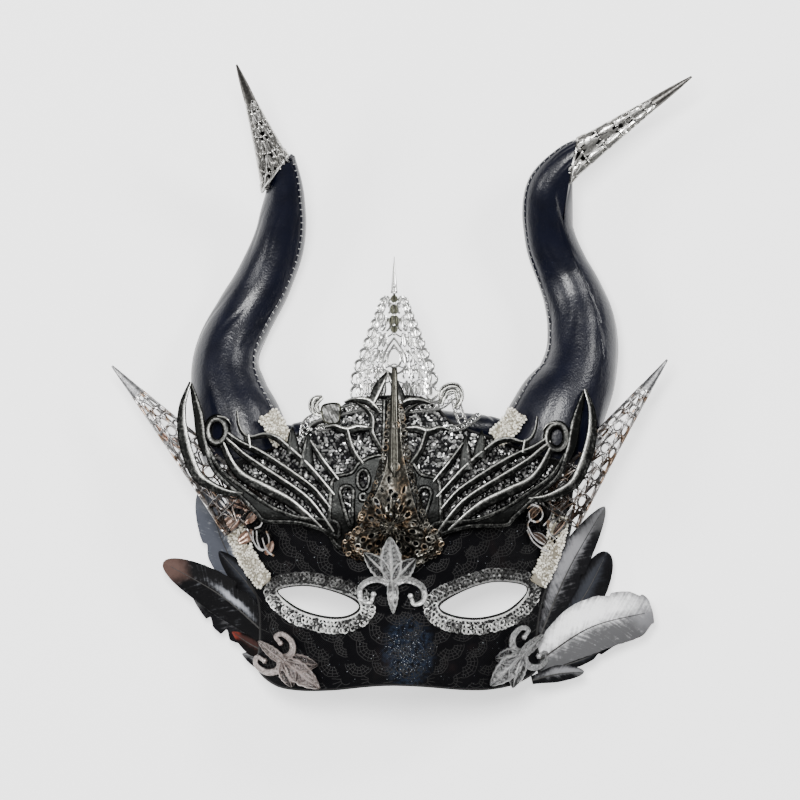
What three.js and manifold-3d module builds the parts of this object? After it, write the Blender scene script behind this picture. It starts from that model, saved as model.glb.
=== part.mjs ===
// A horned masquerade half-mask, lying on its back and seen from above.
// Millimetres. +X is the viewer's right, +Y runs up to the horn tips, +Z comes out of the face.
// Places are first given from the bridge of the nose and moved to the foot of the part at the end.
import * as THREE from "three";
import { mergeVertices } from "three/addons/utils/BufferGeometryUtils.js";
import Module from "manifold-3d";

const wasm = await Module();
wasm.setup();

// Driving dimensions of the whole
const maskHeight = 299.2;
const maskWidth = 279.2;
const lowestY = -43;
const leftmostX = -136.3;
const clearance = 0.35;

// Driving dimensions of the face shell
const shell = {
  centreX: 2.5,
  halfWidth: 83,
  depth: 62,
  roundness: 2.6,
  wall: 2.4,
  browLine: 30,
  crownLine: 95,
  browFallback: 12,
  noseRise: 13,
  noseHalfWidth: 13,
  noseTopY: 2,
  noseBottomY: -40,
  backShare: 1.25,
};
const cutDepth = { low: -90, high: 150 };
const panel = { thickness: 1.9 };
const crest = {
  centreX: -4.1,
  pivotY: 70,
  tilt: -0.018,
  height: 70,
  halfSpan: 97,
  sideFall: 24,
  topFall: 4,
  footFall: 5.5,
  footRange: [20, 44],
  plate: 2.4,
};
const trim = { height: 2.4, halfWidth: 2.9, scallop: 0.7, reach: 3.9, reachAbove: 3.0, lift: 0.4 };
const feather = { height: 1.1, rootShare: 0.5, roundFrom: 0.45, roundness: 2 };

// Colours and finishes
const finishes = {
  lace: { color: 0x08080a, roughness: 0.7, metalness: 0 },
  leather: { color: 0x0c1020, roughness: 0.35, metalness: 0 },
  gunmetal: { color: 0x3b3d3a, roughness: 0.35, metalness: 0.9 },
  bronze: { color: 0x5b574a, roughness: 0.35, metalness: 0.9 },
  silver: { color: 0xb9bab8, roughness: 0.25, metalness: 0.95 },
  silverPaint: { color: 0x9a9b9d, roughness: 0.45, metalness: 0.6 },
  chips: { color: 0x6e706e, roughness: 0.3, metalness: 0.8 },
  ivoryBraid: { color: 0xd9d6c4, roughness: 0.6, metalness: 0.1 },
  silverBraid: { color: 0xa9a9a4, roughness: 0.5, metalness: 0.4 },
  greyFeather: { color: 0x54555a, roughness: 0.6, metalness: 0.2 },
  blackFeather: { color: 0x0b0c0f, roughness: 0.6, metalness: 0 },
  roseFeather: { color: 0x7a6660, roughness: 0.6, metalness: 0.1 },
  silverFeather: { color: 0xc4c6c8, roughness: 0.5, metalness: 0.3 },
};

const mix = (a, b, t) => a + (b - a) * t;
const ramp = (a, b, x) => Math.min(1, Math.max(0, (x - a) / (b - a)));
const smooth = (a, b, x) => ramp(a, b, x) ** 2 * (3 - 2 * ramp(a, b, x));

// Front of the face shell: round across, falling back towards the crown, with a nose ridge below.
function shellFront(x, y) {
  const across = 1 - (Math.abs(x - shell.centreX) / shell.halfWidth) ** shell.roundness;
  const upBrow = (y - shell.browLine) / (shell.crownLine - shell.browLine);
  const back = shell.browFallback * Math.max(0, upBrow) ** 2;
  const bridge = Math.exp(-(((x - shell.centreX) / shell.noseHalfWidth) ** 2));
  const nose = shell.noseRise * bridge * smooth(shell.noseTopY, shell.noseBottomY, y);
  return (shell.depth - back) * across + nose;
}

// Middle of the crest plate: a wider, flatter curve that stands clear of the shell and dips at the brow.
function crestMiddle(x, y) {
  const side = crest.sideFall * ((x - crest.centreX) / crest.halfSpan) ** 2;
  const top = crest.topFall * Math.max(0, (y - 40) / 65) ** 2;
  const foot = crest.footFall * (1 - smooth(...crest.footRange, y));
  return crest.height - side - top - foot;
}

// Closed triangles into a solid, turned outwards if its volume comes out negative.
function solidFrom(positions, triangles) {
  const build = (tris) =>
    new wasm.Manifold(
      new wasm.Mesh({
        numProp: 3,
        vertProperties: new Float32Array(positions),
        triVerts: new Uint32Array(tris),
      }),
    );
  const solid = build(triangles);
  if (solid.volume() >= 0) return solid;
  const turned = triangles.slice();
  for (let i = 0; i < turned.length; i += 3) {
    [turned[i + 1], turned[i + 2]] = [turned[i + 2], turned[i + 1]];
  }
  return build(turned);
}

// A three.js geometry into a solid.
function solidOf(geometry) {
  const bare = geometry.clone();
  bare.deleteAttribute("normal");
  bare.deleteAttribute("uv");
  const merged = mergeVertices(bare, 1e-3);
  return solidFrom(Array.from(merged.attributes.position.array), Array.from(merged.index.array));
}

function join(solids) {
  return solids.reduce((all, next) => all.add(next));
}

// The largest of the bodies that a cut leaves.
function largest(solid) {
  return solid.decompose().sort((a, b) => b.volume() - a.volume())[0];
}

// Straight block over an outline in plan, for cutting curved sheets to their edge.
function prism(outline, bottom, top) {
  const shape = new THREE.Shape(outline);
  const geometry = new THREE.ExtrudeGeometry(shape, { depth: top - bottom, bevelEnabled: false });
  return solidOf(geometry.translate(0, 0, bottom));
}

// A box on the far side of a plane: all of it by default, or only the part near the point.
function beyond(point, normal, size = 500) {
  const box = new THREE.BoxGeometry(size, size, size).translate(0, 0, size / 2);
  const upward = new THREE.Vector3(0, 0, 1);
  const turn = new THREE.Quaternion().setFromUnitVectors(upward, normal.clone().normalize());
  return solidOf(box.applyQuaternion(turn).translate(point.x, point.y, point.z));
}

const belowFloor = beyond(new THREE.Vector3(0, 0, 0), new THREE.Vector3(0, 0, -1));

// Smooth outline through a few points, as points in plan.
function smoothLoop(points, count, tension = 0.5) {
  const curve = new THREE.CatmullRomCurve3(
    points.map(([x, y]) => new THREE.Vector3(x, y, 0)),
    true,
    "catmullrom",
    tension,
  );
  return curve.getSpacedPoints(count).slice(0, count).map((p) => new THREE.Vector2(p.x, p.y));
}

function smoothPath(points, count) {
  const curve = new THREE.CatmullRomCurve3(points.map(([x, y]) => new THREE.Vector3(x, y, 0)));
  return curve.getSpacedPoints(count).map((p) => new THREE.Vector2(p.x, p.y));
}

// Sheet on a grid between two height functions of x and y.
function gridSheet([x0, x1, nx], [y0, y1, ny], bottom, top) {
  const positions = [];
  const triangles = [];
  const id = (i, j, layer) => (layer * (ny + 1) + j) * (nx + 1) + i;
  for (const height of [bottom, top])
    for (let j = 0; j <= ny; j++)
      for (let i = 0; i <= nx; i++) {
        const x = mix(x0, x1, i / nx);
        const y = mix(y0, y1, j / ny);
        positions.push(x, y, height(x, y));
      }
  const quad = (a, b, c, d) => triangles.push(a, b, c, a, c, d);
  for (let j = 0; j < ny; j++)
    for (let i = 0; i < nx; i++) {
      quad(id(i, j, 1), id(i + 1, j, 1), id(i + 1, j + 1, 1), id(i, j + 1, 1));
      quad(id(i, j, 0), id(i, j + 1, 0), id(i + 1, j + 1, 0), id(i + 1, j, 0));
    }
  for (let i = 0; i < nx; i++) {
    quad(id(i, 0, 0), id(i + 1, 0, 0), id(i + 1, 0, 1), id(i, 0, 1));
    quad(id(i + 1, ny, 0), id(i, ny, 0), id(i, ny, 1), id(i + 1, ny, 1));
  }
  for (let j = 0; j < ny; j++) {
    quad(id(0, j + 1, 0), id(0, j, 0), id(0, j, 1), id(0, j + 1, 1));
    quad(id(nx, j, 0), id(nx, j + 1, 0), id(nx, j + 1, 1), id(nx, j, 1));
  }
  return solidFrom(positions, triangles);
}

const flatSection = [[-1, 0], [-0.7, 1], [0.7, 1], [1, 0]];
const roofSection = [[-1, 0], [0, 1], [1, 0]];
const lensSection = [[-1, 0.4], [0, 1], [1, 0.4], [0, 0]];

// A section carried along a path in plan and laid on a height function.
// Each section corner is a pair: how far across (1 is the half width) and how far up (1 is the height).
// A shift of 1 or -1 puts the whole rib on one side of its path.
function drapedRib(path, { halfWidth, height, ground, section = flatSection, closed = false, shift = 0 }) {
  const positions = [];
  const triangles = [];
  const last = path.length - 1;
  const corners = section.length;
  path.forEach((p, i) => {
    const before = closed ? path[(i + last) % (last + 1)] : path[Math.max(0, i - 1)];
    const after = closed ? path[(i + 1) % (last + 1)] : path[Math.min(last, i + 1)];
    const along = after.clone().sub(before).normalize();
    const t = i / last;
    const wide = typeof halfWidth === "function" ? halfWidth(t, i) : halfWidth;
    const high = typeof height === "function" ? height(t, i) : height;
    for (const [across, up] of section) {
      const x = p.x - along.y * wide * (across + shift);
      const y = p.y + along.x * wide * (across + shift);
      positions.push(x, y, ground(x, y) + high * up);
    }
  });
  const rings = closed ? path.length : last;
  for (let i = 0; i < rings; i++)
    for (let k = 0; k < corners; k++) {
      const a = i * corners + k;
      const b = i * corners + ((k + 1) % corners);
      const c = ((i + 1) % path.length) * corners + ((k + 1) % corners);
      const d = ((i + 1) % path.length) * corners + k;
      triangles.push(a, b, c, a, c, d);
    }
  if (!closed)
    for (let k = 1; k < corners - 1; k++) {
      triangles.push(0, k + 1, k);
      triangles.push(last * corners, last * corners + k, last * corners + k + 1);
    }
  return solidFrom(positions, triangles);
}

// Rings carried along a line in space. Each stop is [x, y, z, half width, half depth].
function loft(stops, sides) {
  const centres = stops.map(([x, y, z]) => new THREE.Vector3(x, y, z));
  const positions = [];
  const triangles = [];
  const up = new THREE.Vector3(0, 0, 1);
  stops.forEach(([, , , wide, deep], i) => {
    const next = centres[Math.min(stops.length - 1, i + 1)];
    const along = next.clone().sub(centres[Math.max(0, i - 1)]).normalize();
    const side = along.clone().cross(up).normalize();
    const front = side.clone().cross(along);
    for (let k = 0; k < sides; k++) {
      const angle = (2 * Math.PI * (k + 0.5)) / sides;
      const p = centres[i].clone();
      p.addScaledVector(side, wide * Math.cos(angle)).addScaledVector(front, deep * Math.sin(angle));
      positions.push(p.x, p.y, p.z);
    }
  });
  const last = stops.length - 1;
  for (let i = 0; i < last; i++)
    for (let k = 0; k < sides; k++) {
      const a = i * sides + k;
      const b = i * sides + ((k + 1) % sides);
      triangles.push(a, b, b + sides, a, b + sides, a + sides);
    }
  for (let k = 1; k < sides - 1; k++) {
    triangles.push(0, k + 1, k);
    triangles.push(last * sides, last * sides + k, last * sides + k + 1);
  }
  return solidFrom(positions, triangles);
}

// More stops along a coarse list, by a smooth curve through all of its values.
function refine(stops, count) {
  const place = new THREE.CatmullRomCurve3(stops.map(([x, y, z]) => new THREE.Vector3(x, y, z)));
  const sizes = stops.map(([, , , wide, deep]) => new THREE.Vector3(wide, deep, 0));
  const size = new THREE.CatmullRomCurve3(sizes);
  return Array.from({ length: count + 1 }, (_, i) => {
    const p = place.getPoint(i / count);
    const s = size.getPoint(i / count);
    return [p.x, p.y, p.z, s.x, s.y];
  });
}

// Pierced sheet of two layers: place(i, j, layer) gives its corners and isOpen(i, j) tells the holes.
function piercedSheet({ columns, rows, wraps, place, isOpen }) {
  const across = wraps ? columns : columns + 1;
  const positions = [];
  const triangles = [];
  for (let layer = 0; layer < 2; layer++)
    for (let j = 0; j <= rows; j++)
      for (let i = 0; i < across; i++) positions.push(...place(i, j, layer).toArray());
  const id = (i, j, layer) => (layer * (rows + 1) + j) * across + (wraps ? (i + columns) % columns : i);
  const solidCell = (i, j) => {
    if (j < 0 || j >= rows) return false;
    if (!wraps && (i < 0 || i >= columns)) return false;
    return !isOpen((i + columns) % columns, j);
  };
  const quad = (a, b, c, d) => triangles.push(a, b, c, a, c, d);
  for (let j = 0; j < rows; j++)
    for (let i = 0; i < columns; i++) {
      if (!solidCell(i, j)) continue;
      quad(id(i, j, 0), id(i + 1, j, 0), id(i + 1, j + 1, 0), id(i, j + 1, 0));
      quad(id(i, j, 1), id(i, j + 1, 1), id(i + 1, j + 1, 1), id(i + 1, j, 1));
      const wall = (i0, j0, i1, j1) => quad(id(i1, j1, 0), id(i0, j0, 0), id(i0, j0, 1), id(i1, j1, 1));
      if (!solidCell(i, j - 1)) wall(i, j, i + 1, j);
      if (!solidCell(i + 1, j)) wall(i + 1, j, i + 1, j + 1);
      if (!solidCell(i, j + 1)) wall(i + 1, j + 1, i, j + 1);
      if (!solidCell(i - 1, j)) wall(i, j + 1, i, j);
    }
  return solidFrom(positions, triangles);
}

// Hollow filigree spike: a cone with rows of holes under a solid point. It bows out in the middle.
const spikeWall = 1.3;
const spikePointShare = 0.3;
function filigreeSpike({ base, tip, radius, flatness, columns, rows, bow }) {
  const from = new THREE.Vector3(...base);
  const axis = new THREE.Vector3(...tip).sub(from);
  const along = axis.clone().normalize();
  const side = along.clone().cross(new THREE.Vector3(0, 0, 1)).normalize();
  const front = side.clone().cross(along);
  const tipRadius = 0.5;
  const widthAt = (t) => mix(radius, tipRadius, t) + bow * Math.sin(Math.PI * t);
  const pointOn = (t, angle, thinner) => {
    const r = widthAt(t) - thinner;
    const p = from.clone().addScaledVector(axis, t);
    p.addScaledVector(side, r * Math.cos(angle));
    return p.addScaledVector(front, r * flatness * Math.sin(angle));
  };
  const latticeEnd = 1 - spikePointShare * 0.9;
  const place = (i, j, layer) => {
    const t = (j / rows) ** 0.85 * latticeEnd;
    const angle = (2 * Math.PI * (i + 0.5)) / columns;
    const thinner = layer ? Math.min(spikeWall, widthAt(t) * 0.5) : 0;
    return pointOn(t, angle, thinner);
  };
  const isOpen = (i, j) => i % 2 === 1 && j % 2 === 1;
  const body = piercedSheet({ columns, rows, wraps: true, place, isOpen });
  const point = (t) => from.clone().addScaledVector(axis, t);
  const stop = (t, more) => [...point(t).toArray(), widthAt(t) + more, (widthAt(t) + more) * flatness];
  const start = 1 - spikePointShare;
  return body.add(loft([stop(start, -0.2), stop(1, 0)], 6));
}

const root = new THREE.Group();
root.position.set(-(leftmostX + maskWidth / 2), -(lowestY + maskHeight / 2), 0);

function addPiece(name, solid, finish) {
  const mesh = solid.getMesh();
  const geometry = new THREE.BufferGeometry();
  geometry.setAttribute("position", new THREE.BufferAttribute(new Float32Array(mesh.vertProperties), 3));
  geometry.setIndex(new THREE.BufferAttribute(new Uint32Array(mesh.triVerts), 1));
  geometry.computeVertexNormals();
  const piece = new THREE.Mesh(geometry, new THREE.MeshStandardMaterial(finishes[finish]));
  piece.name = name;
  root.add(piece);
}

// Face shell
const shellOutline = smoothLoop(
  [
    [0, -39.8], [-30, -42.5], [-47, -42.8], [-58, -40.5], [-66, -33], [-65, -20], [-66, 0], [-74, 13],
    [-80.2, 30], [-80.5, 48], [-80.4, 64], [-66, 70], [-51, 76.5], [-42, 82.8], [-31, 87.4], [-23, 94.4],
    [-12, 97.4], [0, 97.9], [12, 97.4], [20, 92.4], [27, 85.4], [36, 81.4], [49, 77], [68, 70], [85, 64],
    [85.4, 48], [84.4, 32], [76, 12],
    [71, 0], [68, -18], [69, -32], [60, -39], [48, -42], [33, -42.3],
  ],
  64,
);
const eyeOutlines = {
  left: smoothLoop(
    [
      [-56.6, 4.3], [-46, 7.2], [-35, 6.2], [-22.5, 2.2], [-16.8, -2.4], [-20.5, -6.6], [-28.3, -8.2],
      [-38.9, -6.7], [-48.5, -2.9],
    ],
    22,
  ),
  right: smoothLoop(
    [
      [21.1, -2.4], [32.2, 4.8], [46.6, 9.1], [60.5, 7.9], [63.8, 4.4], [59, -1.5], [51.4, -6.2],
      [39.4, -8.6], [27, -7],
    ],
    22,
  ),
};
const plan = [
  [-92, 97, 18],
  [-50, 98, 10],
];
const shellBack = (x, y) => shellFront(x, y) - shell.wall * shell.backShare;
const overPlan = (outline) => prism(outline, cutDepth.low, cutDepth.high);
const shellSolid = gridSheet(...plan, shellBack, shellFront)
  .intersect(overPlan(shellOutline))
  .subtract(overPlan(eyeOutlines.left))
  .subtract(overPlan(eyeOutlines.right))
  .subtract(belowFloor);
addPiece("mask_shell", largest(shellSolid), "lace");

// Room that the shell needs, for what is cut to fit round it
const edgeRoom = 0.9;
const backRoom = 4.2;
const grown = shellOutline.map((p) => p.clone().multiplyScalar(1 + edgeRoom / p.length()));
const justAbove = (x, y) => shellFront(x, y) + clearance * 0.95;
const deepDown = () => cutDepth.low;
const justBehind = (x, y) => shellFront(x, y) - backRoom;
const shellRoom = gridSheet(...plan, justBehind, justAbove).intersect(overPlan(grown));
const underShell = gridSheet(...plan, deepDown, justAbove).intersect(overPlan(grown));

// Brow panel of silver chips on the upper half of the shell
const panelOutline = smoothLoop(
  [
    [0, 33], [-20, 33], [-36, 37], [-58, 41], [-72, 46], [-77, 50], [-78.5, 60], [-66, 68], [-51, 75],
    [-42, 81.5], [-31, 86], [-23, 93], [-12, 96], [0, 96.5], [12, 96], [20, 91], [27, 84], [36, 80],
    [49, 75.5], [68, 67.5],
    [82, 60], [82, 50], [74, 46], [58, 42], [38, 37], [20, 33],
  ],
  60,
);
const panelGround = (x, y) => shellFront(x, y) + clearance;
const panelTop = (x, y) => panelGround(x, y) + panel.thickness;
const panelSolid = gridSheet(...plan, panelGround, panelTop).intersect(overPlan(panelOutline));
// Room over and round the panel: its outline a little larger about its own middle height
const panelMiddleY = 62;
const panelGrowth = { across: 1.006, up: 1.01 };
const panelGrown = panelOutline.map(
  (p) => new THREE.Vector2(p.x * panelGrowth.across, mix(panelMiddleY, p.y, panelGrowth.up)),
);
const abovePanel = (x, y) => panelTop(x, y) + clearance;
const panelRoom = gridSheet(...plan, deepDown, abovePanel).intersect(overPlan(panelGrown));
addPiece("brow_panel", largest(panelSolid.subtract(belowFloor)), "chips");

// Crest: one openwork casting, the same on both sides of its middle, a little turned on the mask.
// A rib has its width at both ends and in between, and points from the crest's own middle.
// It lies on its points, or under them where they are its upper edge.
const crestRibs = {
  crescent: {
    widths: [1, 4, 1.4],
    points: [
      [94.7, 103], [98, 93], [98.6, 84.5], [97.4, 76], [95, 67.5], [90.4, 58], [83, 53], [76, 50.4],
      [68.5, 49.6],
    ],
  },
  crescentInner: {
    widths: [1, 3.6, 3],
    points: [[94.5, 102.5], [92.5, 95], [90.5, 87], [88.8, 76], [86, 68]],
  },
  bladeWide: {
    widths: [2.4, 5, 2.4],
    under: true,
    points: [
      [78.4, 76], [72, 64.5], [67.5, 60], [60, 56.4], [52, 52.5], [45.5, 49], [38.9, 43.7], [30, 35],
    ],
  },
  bladeMiddle: {
    widths: [2.4, 3.4, 2.6],
    under: true,
    points: [
      [78, 78], [73, 74.2], [68, 70], [60, 64.8], [52, 59.8], [44, 54.8], [36, 48.7], [29.8, 41.3],
      [24, 33],
    ],
  },
  bladeInner: {
    widths: [2.6, 3.2, 3],
    under: true,
    points: [[76.6, 80], [69.8, 75.6], [61.9, 72.2], [53.5, 67.5], [44.9, 62], [33.5, 53.7], [26.2, 45]],
  },
  curl: {
    widths: [0.8, 3, 2.8],
    points: [
      [72, 89.4], [70.9, 82.4], [68.6, 78.5], [65.2, 76.8], [58.5, 78.1], [53.3, 77], [48.2, 73.2],
      [37.5, 63.7], [25, 49.8],
    ],
  },
  curlTie: { widths: [3, 3, 3], points: [[67, 78], [66, 72]] },
  ringFlick: { widths: [2.2, 2, 0.8], points: [[81.4, 86], [77.4, 85.4], [74.8, 82.6]] },
  spikeOuter: { widths: [6.2, 4.4, 0.8], points: [[44.4, 69.5], [45.4, 82.3]] },
  spikeInner: { widths: [6.8, 4.6, 0.8], points: [[38.2, 63.5], [37.4, 80.3]] },
  bracket: { widths: [1.8, 2.8, 2.8], points: [[37, 76], [30.7, 66.6], [23.3, 57.2]] },
  cusps: {
    widths: [0.8, 3.8, 2], under: true,
    points: [[30, 82.6], [25.2, 84], [19, 82.8], [14.5, 84.1], [6, 83]],
  },
  stem: { widths: [2.4, 2.8, 2.6], points: [[19.6, 82], [16.4, 72], [11.6, 65]] },
  upperArc: {
    widths: [0.8, 3.4, 2.4], under: true,
    points: [[20.8, 94.9], [16.6, 96.8], [8.9, 96.8], [3, 91]],
  },
  innerArc: {
    widths: [1, 2.6, 2.4],
    points: [[15.1, 94.6], [10, 91.3], [7.2, 86.9], [7.2, 80.4], [2, 71.6]],
  },
  finial: { widths: [0.8, 4, 3.4], points: [[-0.3, 110], [3.6, 103.4], [7.4, 95]] },
  middle: { widths: [4, 4, 4], points: [[-0.2, 96], [-0.2, 60]] },
};
const crestLoops = { ring: { width: 3.1, centre: [81.4, 79.8], radii: [5.1, 6.4] } };
const crestPlates = {
  lowerBlade: {
    outline: [
      [86.2, 72.4], [82, 65], [77.5, 59.6], [69.8, 54], [57.4, 45.6], [44.4, 39.8], [34, 38.4], [23.4, 37],
      [22.4, 30.3], [30, 33.6], [42, 36.6], [57.4, 37.2], [61.7, 41.1], [70.3, 49.6], [82.3, 61],
    ],
  },
  centre: {
    outline: [
      [24.8, 58.4], [16.6, 61], [11.8, 66.6], [1, 69], [1, 54], [7.6, 50.6], [8.6, 44.4], [9.8, 38.2],
      [13.2, 33.4], [17.4, 31.5], [20.2, 21.3], [23, 22.4], [26.2, 31], [26.6, 42.8], [26.2, 51.4],
    ],
    holes: [
      [
        [15.4, 51.4], [16.6, 54], [18.7, 54.8], [20.8, 54], [21.8, 51.4], [20.6, 46.5], [18.2, 39],
        [16.6, 35.4], [15.6, 36.4], [15.6, 46],
      ],
      [[7.9, 57.7], [9, 61.4], [10.8, 62.6], [12.7, 61.4], [13.7, 57.7], [12.7, 54.1], [10.8, 53], [9, 54.1]],
      [[9.6, 48.2], [11.9, 48.2], [11.9, 50.8], [9.6, 50.8]],
    ],
  },
};
const ribSpacing = 11;
const loopSides = 10;
const crestPlan = [
  [-106, 98, 12],
  [18, 114, 4],
];

function toMask(side) {
  const turn = crest.tilt;
  return ([u, v]) => {
    const x = side * u;
    const y = v - crest.pivotY;
    const turnedX = x * Math.cos(turn) - y * Math.sin(turn);
    const turnedY = x * Math.sin(turn) + y * Math.cos(turn);
    return new THREE.Vector2(crest.centreX + turnedX, crest.pivotY + turnedY);
  };
}
function lengthOf(points) {
  return points.slice(1).reduce((sum, p, i) => sum + p.distanceTo(points[i]), 0);
}
const crestBlock = (outline) => prism(outline, 0, cutDepth.high);
function crestRib({ widths: [first, middle, end], under, points }, side) {
  const placed = points.map(toMask(side));
  const count = Math.max(1, Math.round(lengthOf(placed) / ribSpacing), Math.ceil(placed.length / 2));
  const path = smoothPath(placed.map((p) => p.toArray()), count);
  const bulge = middle - (first + end) / 2;
  const edge = (across) =>
    path.map((p, i) => {
      const t = i / count;
      const half = (mix(first, end, t) + bulge * Math.sin(Math.PI * t)) / 2;
      const along = path[Math.min(count, i + 1)].clone().sub(path[Math.max(0, i - 1)]).normalize();
      const aside = half * (across + (under ? side : 0));
      return p.clone().addScaledVector(new THREE.Vector2(-along.y, along.x), aside);
    });
  return crestBlock([...edge(-1), ...edge(1).reverse()]);
}
function crestLoop({ width, centre, radii }, side) {
  const round = (more) =>
    Array.from({ length: loopSides }, (_, i) => {
      const angle = (2 * Math.PI * i) / loopSides;
      const [a, b] = radii.map((r) => r + more);
      return toMask(side)([centre[0] + a * Math.cos(angle), centre[1] + b * Math.sin(angle)]);
    });
  return [crestBlock(round(width / 2)), crestBlock(round(-width / 2))];
}
function crestHalf(side) {
  const ribs = Object.values(crestRibs).map((rib) => crestRib(rib, side));
  const plates = Object.values(crestPlates);
  const blocks = plates.map(({ outline }) => crestBlock(outline.map(toMask(side))));
  const holes = plates.flatMap(({ holes = [] }) => holes.map((hole) => crestBlock(hole.map(toMask(side)))));
  const loops = Object.values(crestLoops).map((loop) => crestLoop(loop, side));
  const whole = join([...ribs, ...blocks, ...loops.map(([outer]) => outer)]);
  return whole.subtract(join([...holes, ...loops.map(([, inner]) => inner)]));
}
const crestGround = (x, y) => crestMiddle(x, y) - crest.plate / 2;
const crestSheet = (under, over) =>
  gridSheet(
    ...crestPlan,
    (x, y) => crestGround(x, y) - under,
    (x, y) => crestGround(x, y) + crest.plate + over,
  );
addPiece("wing_crest", crestHalf(-1).add(crestHalf(1)).intersect(crestSheet(0, 0)), "gunmetal");

// Horns: padded, leather covered, cut square on the mask's crown and aslant under their tips
const hornSides = 12;
const tipReach = 44;
const tipLevel = 38;
const hornStops = {
  left: [
    [-70.2, 67.5, 26, 21.6, 18.2], [-73, 78, 26, 22.2, 18.5], [-75.5, 86, 25, 21.5, 18.5],
    [-79.6, 98, 22, 19, 17.6], [-81.8, 110, 19, 17.2, 16.6], [-80.2, 121, 16.6, 16, 15.8],
    [-72.6, 137, 14.4, 14.8, 15], [-64.1, 152, 14.6, 14.2, 14.6], [-57, 168, 18.4, 13.3, 13.3],
    [-54, 184, 25.4, 11.8, 11.8], [-53, 199, 34, 8.8, 8.8], [-54, 212, 41, 6.4, 6.4],
  ],
  right: [
    [70.4, 67.5, 26, 23, 18], [75, 79, 26, 24.6, 18.6], [80, 92, 25, 22.5, 19],
    [86.9, 105.6, 22, 19.5, 18.4], [90.3, 119.5, 18.6, 18, 17.6], [89.6, 133.4, 16.2, 16.8, 16.6],
    [86, 146, 14.6, 15, 15], [80.6, 159, 15.2, 13.5, 13.5], [75.4, 172, 19.4, 12.8, 12.8],
    [72.6, 186, 26.4, 11.9, 11.9], [73.8, 199, 33, 10.6, 10.6], [82, 210, 38, 8.2, 8.2],
    [91, 216, 40, 6.8, 6.8],
  ],
};
const tipPlanes = {
  left: { point: [-56.4, 205.5], normal: [-15.3, 11] },
  right: { point: [85.2, 211], normal: [19.7, -3.4] },
};
const hornTips = {
  left: { base: [-55.2, 201.4, 36], tip: [-75.4, 255.6, 78], radius: 9.6 },
  right: { base: [80.2, 208, 37.5], tip: [142.4, 251.2, 42], radius: 8.4 },
};
const hornSpacing = 0.6;
const hornRoom = {};
const crown = overPlan(grown);
for (const side of ["left", "right"]) {
  const plane = tipPlanes[side];
  const normal = new THREE.Vector3(...plane.normal, 0).normalize();
  const at = (shift) => new THREE.Vector3(...plane.point, tipLevel).addScaledVector(normal, shift);
  const stops = refine(hornStops[side], 15);
  const horn = loft(stops, hornSides)
    .subtract(crown)
    .subtract(panelRoom)
    .subtract(beyond(at(0), normal, tipReach))
    .subtract(belowFloor);
  addPiece("horn_" + side, largest(horn), "leather");
  const roomy = stops.map(([x, y, z, wide, deep]) => [x, y, z, wide + hornSpacing, deep + hornSpacing]);
  hornRoom[side] = loft(roomy, hornSides);
  const spike = filigreeSpike({ ...hornTips[side], flatness: 1, columns: 8, rows: 5, bow: 0.4 });
  const cone = spike.subtract(beyond(at(clearance), normal.clone().negate()));
  addPiece("horn_tip_" + side, largest(cone), "silver");
}

// Leather band that joins the horns behind the crown
const bandStops = [
  [-52, 79, 30, 5, 6], [-40, 80.5, 32, 6, 7], [-22, 83, 36, 6, 7], [0, 88.5, 38, 6, 7], [24, 85, 37, 6, 7],
  [42, 82.5, 34, 6.5, 7], [54, 81, 31, 5, 6],
];
const band = loft(refine(bandStops, 10), 8)
  .subtract(hornRoom.left)
  .subtract(hornRoom.right)
  .subtract(shellRoom);
const bandSolid = largest(band);
addPiece("horn_band", bandSolid, "leather");

// Side spikes: filigree cones fixed on the temples, between the shell and the crest
const crestReach = [
  [-106, 108], [-106, 60], [-84, 48], [-60, 34], [-30, 22],
  [30, 20], [60, 32], [80, 46], [98, 58], [98, 106],
].map(([x, y]) => new THREE.Vector2(x, y));
const underCrest = 0.5;
const overCrest = 70;
const crestRoom = crestSheet(underCrest, overCrest).intersect(overPlan(crestReach));
const sideSpikes = {
  left: { base: [-61.5, 31.5, 43], tip: [-136.2, 112.4, 27], radius: 17.5 },
  right: { base: [69.5, 33, 43], tip: [131, 115.4, 27], radius: 16 },
};
const sideSpikeSolids = {};
for (const side of ["left", "right"]) {
  const spike = filigreeSpike({ ...sideSpikes[side], flatness: 0.6, columns: 10, rows: 6, bow: -0.6 });
  const fitted = spike.subtract(underShell).subtract(panelRoom).subtract(crestRoom).subtract(hornRoom[side]);
  sideSpikeSolids[side] = largest(fitted);
  addPiece("side_spike_" + side, sideSpikeSolids[side], "silver");
}

// Front spike: an open-backed claw with a plain rib, its skirt let down onto the brow
const claw = {
  centreX: -0.5, tipY: 111.8, skirtY: 20, wall: 1.4, footLift: 1.8,
  scallops: 5, scallopDepth: 4, openRows: 6,
  ribFootY: 40, ribWidths: [3.4, 0.9], ribHeight: 1.4,
};
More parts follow.
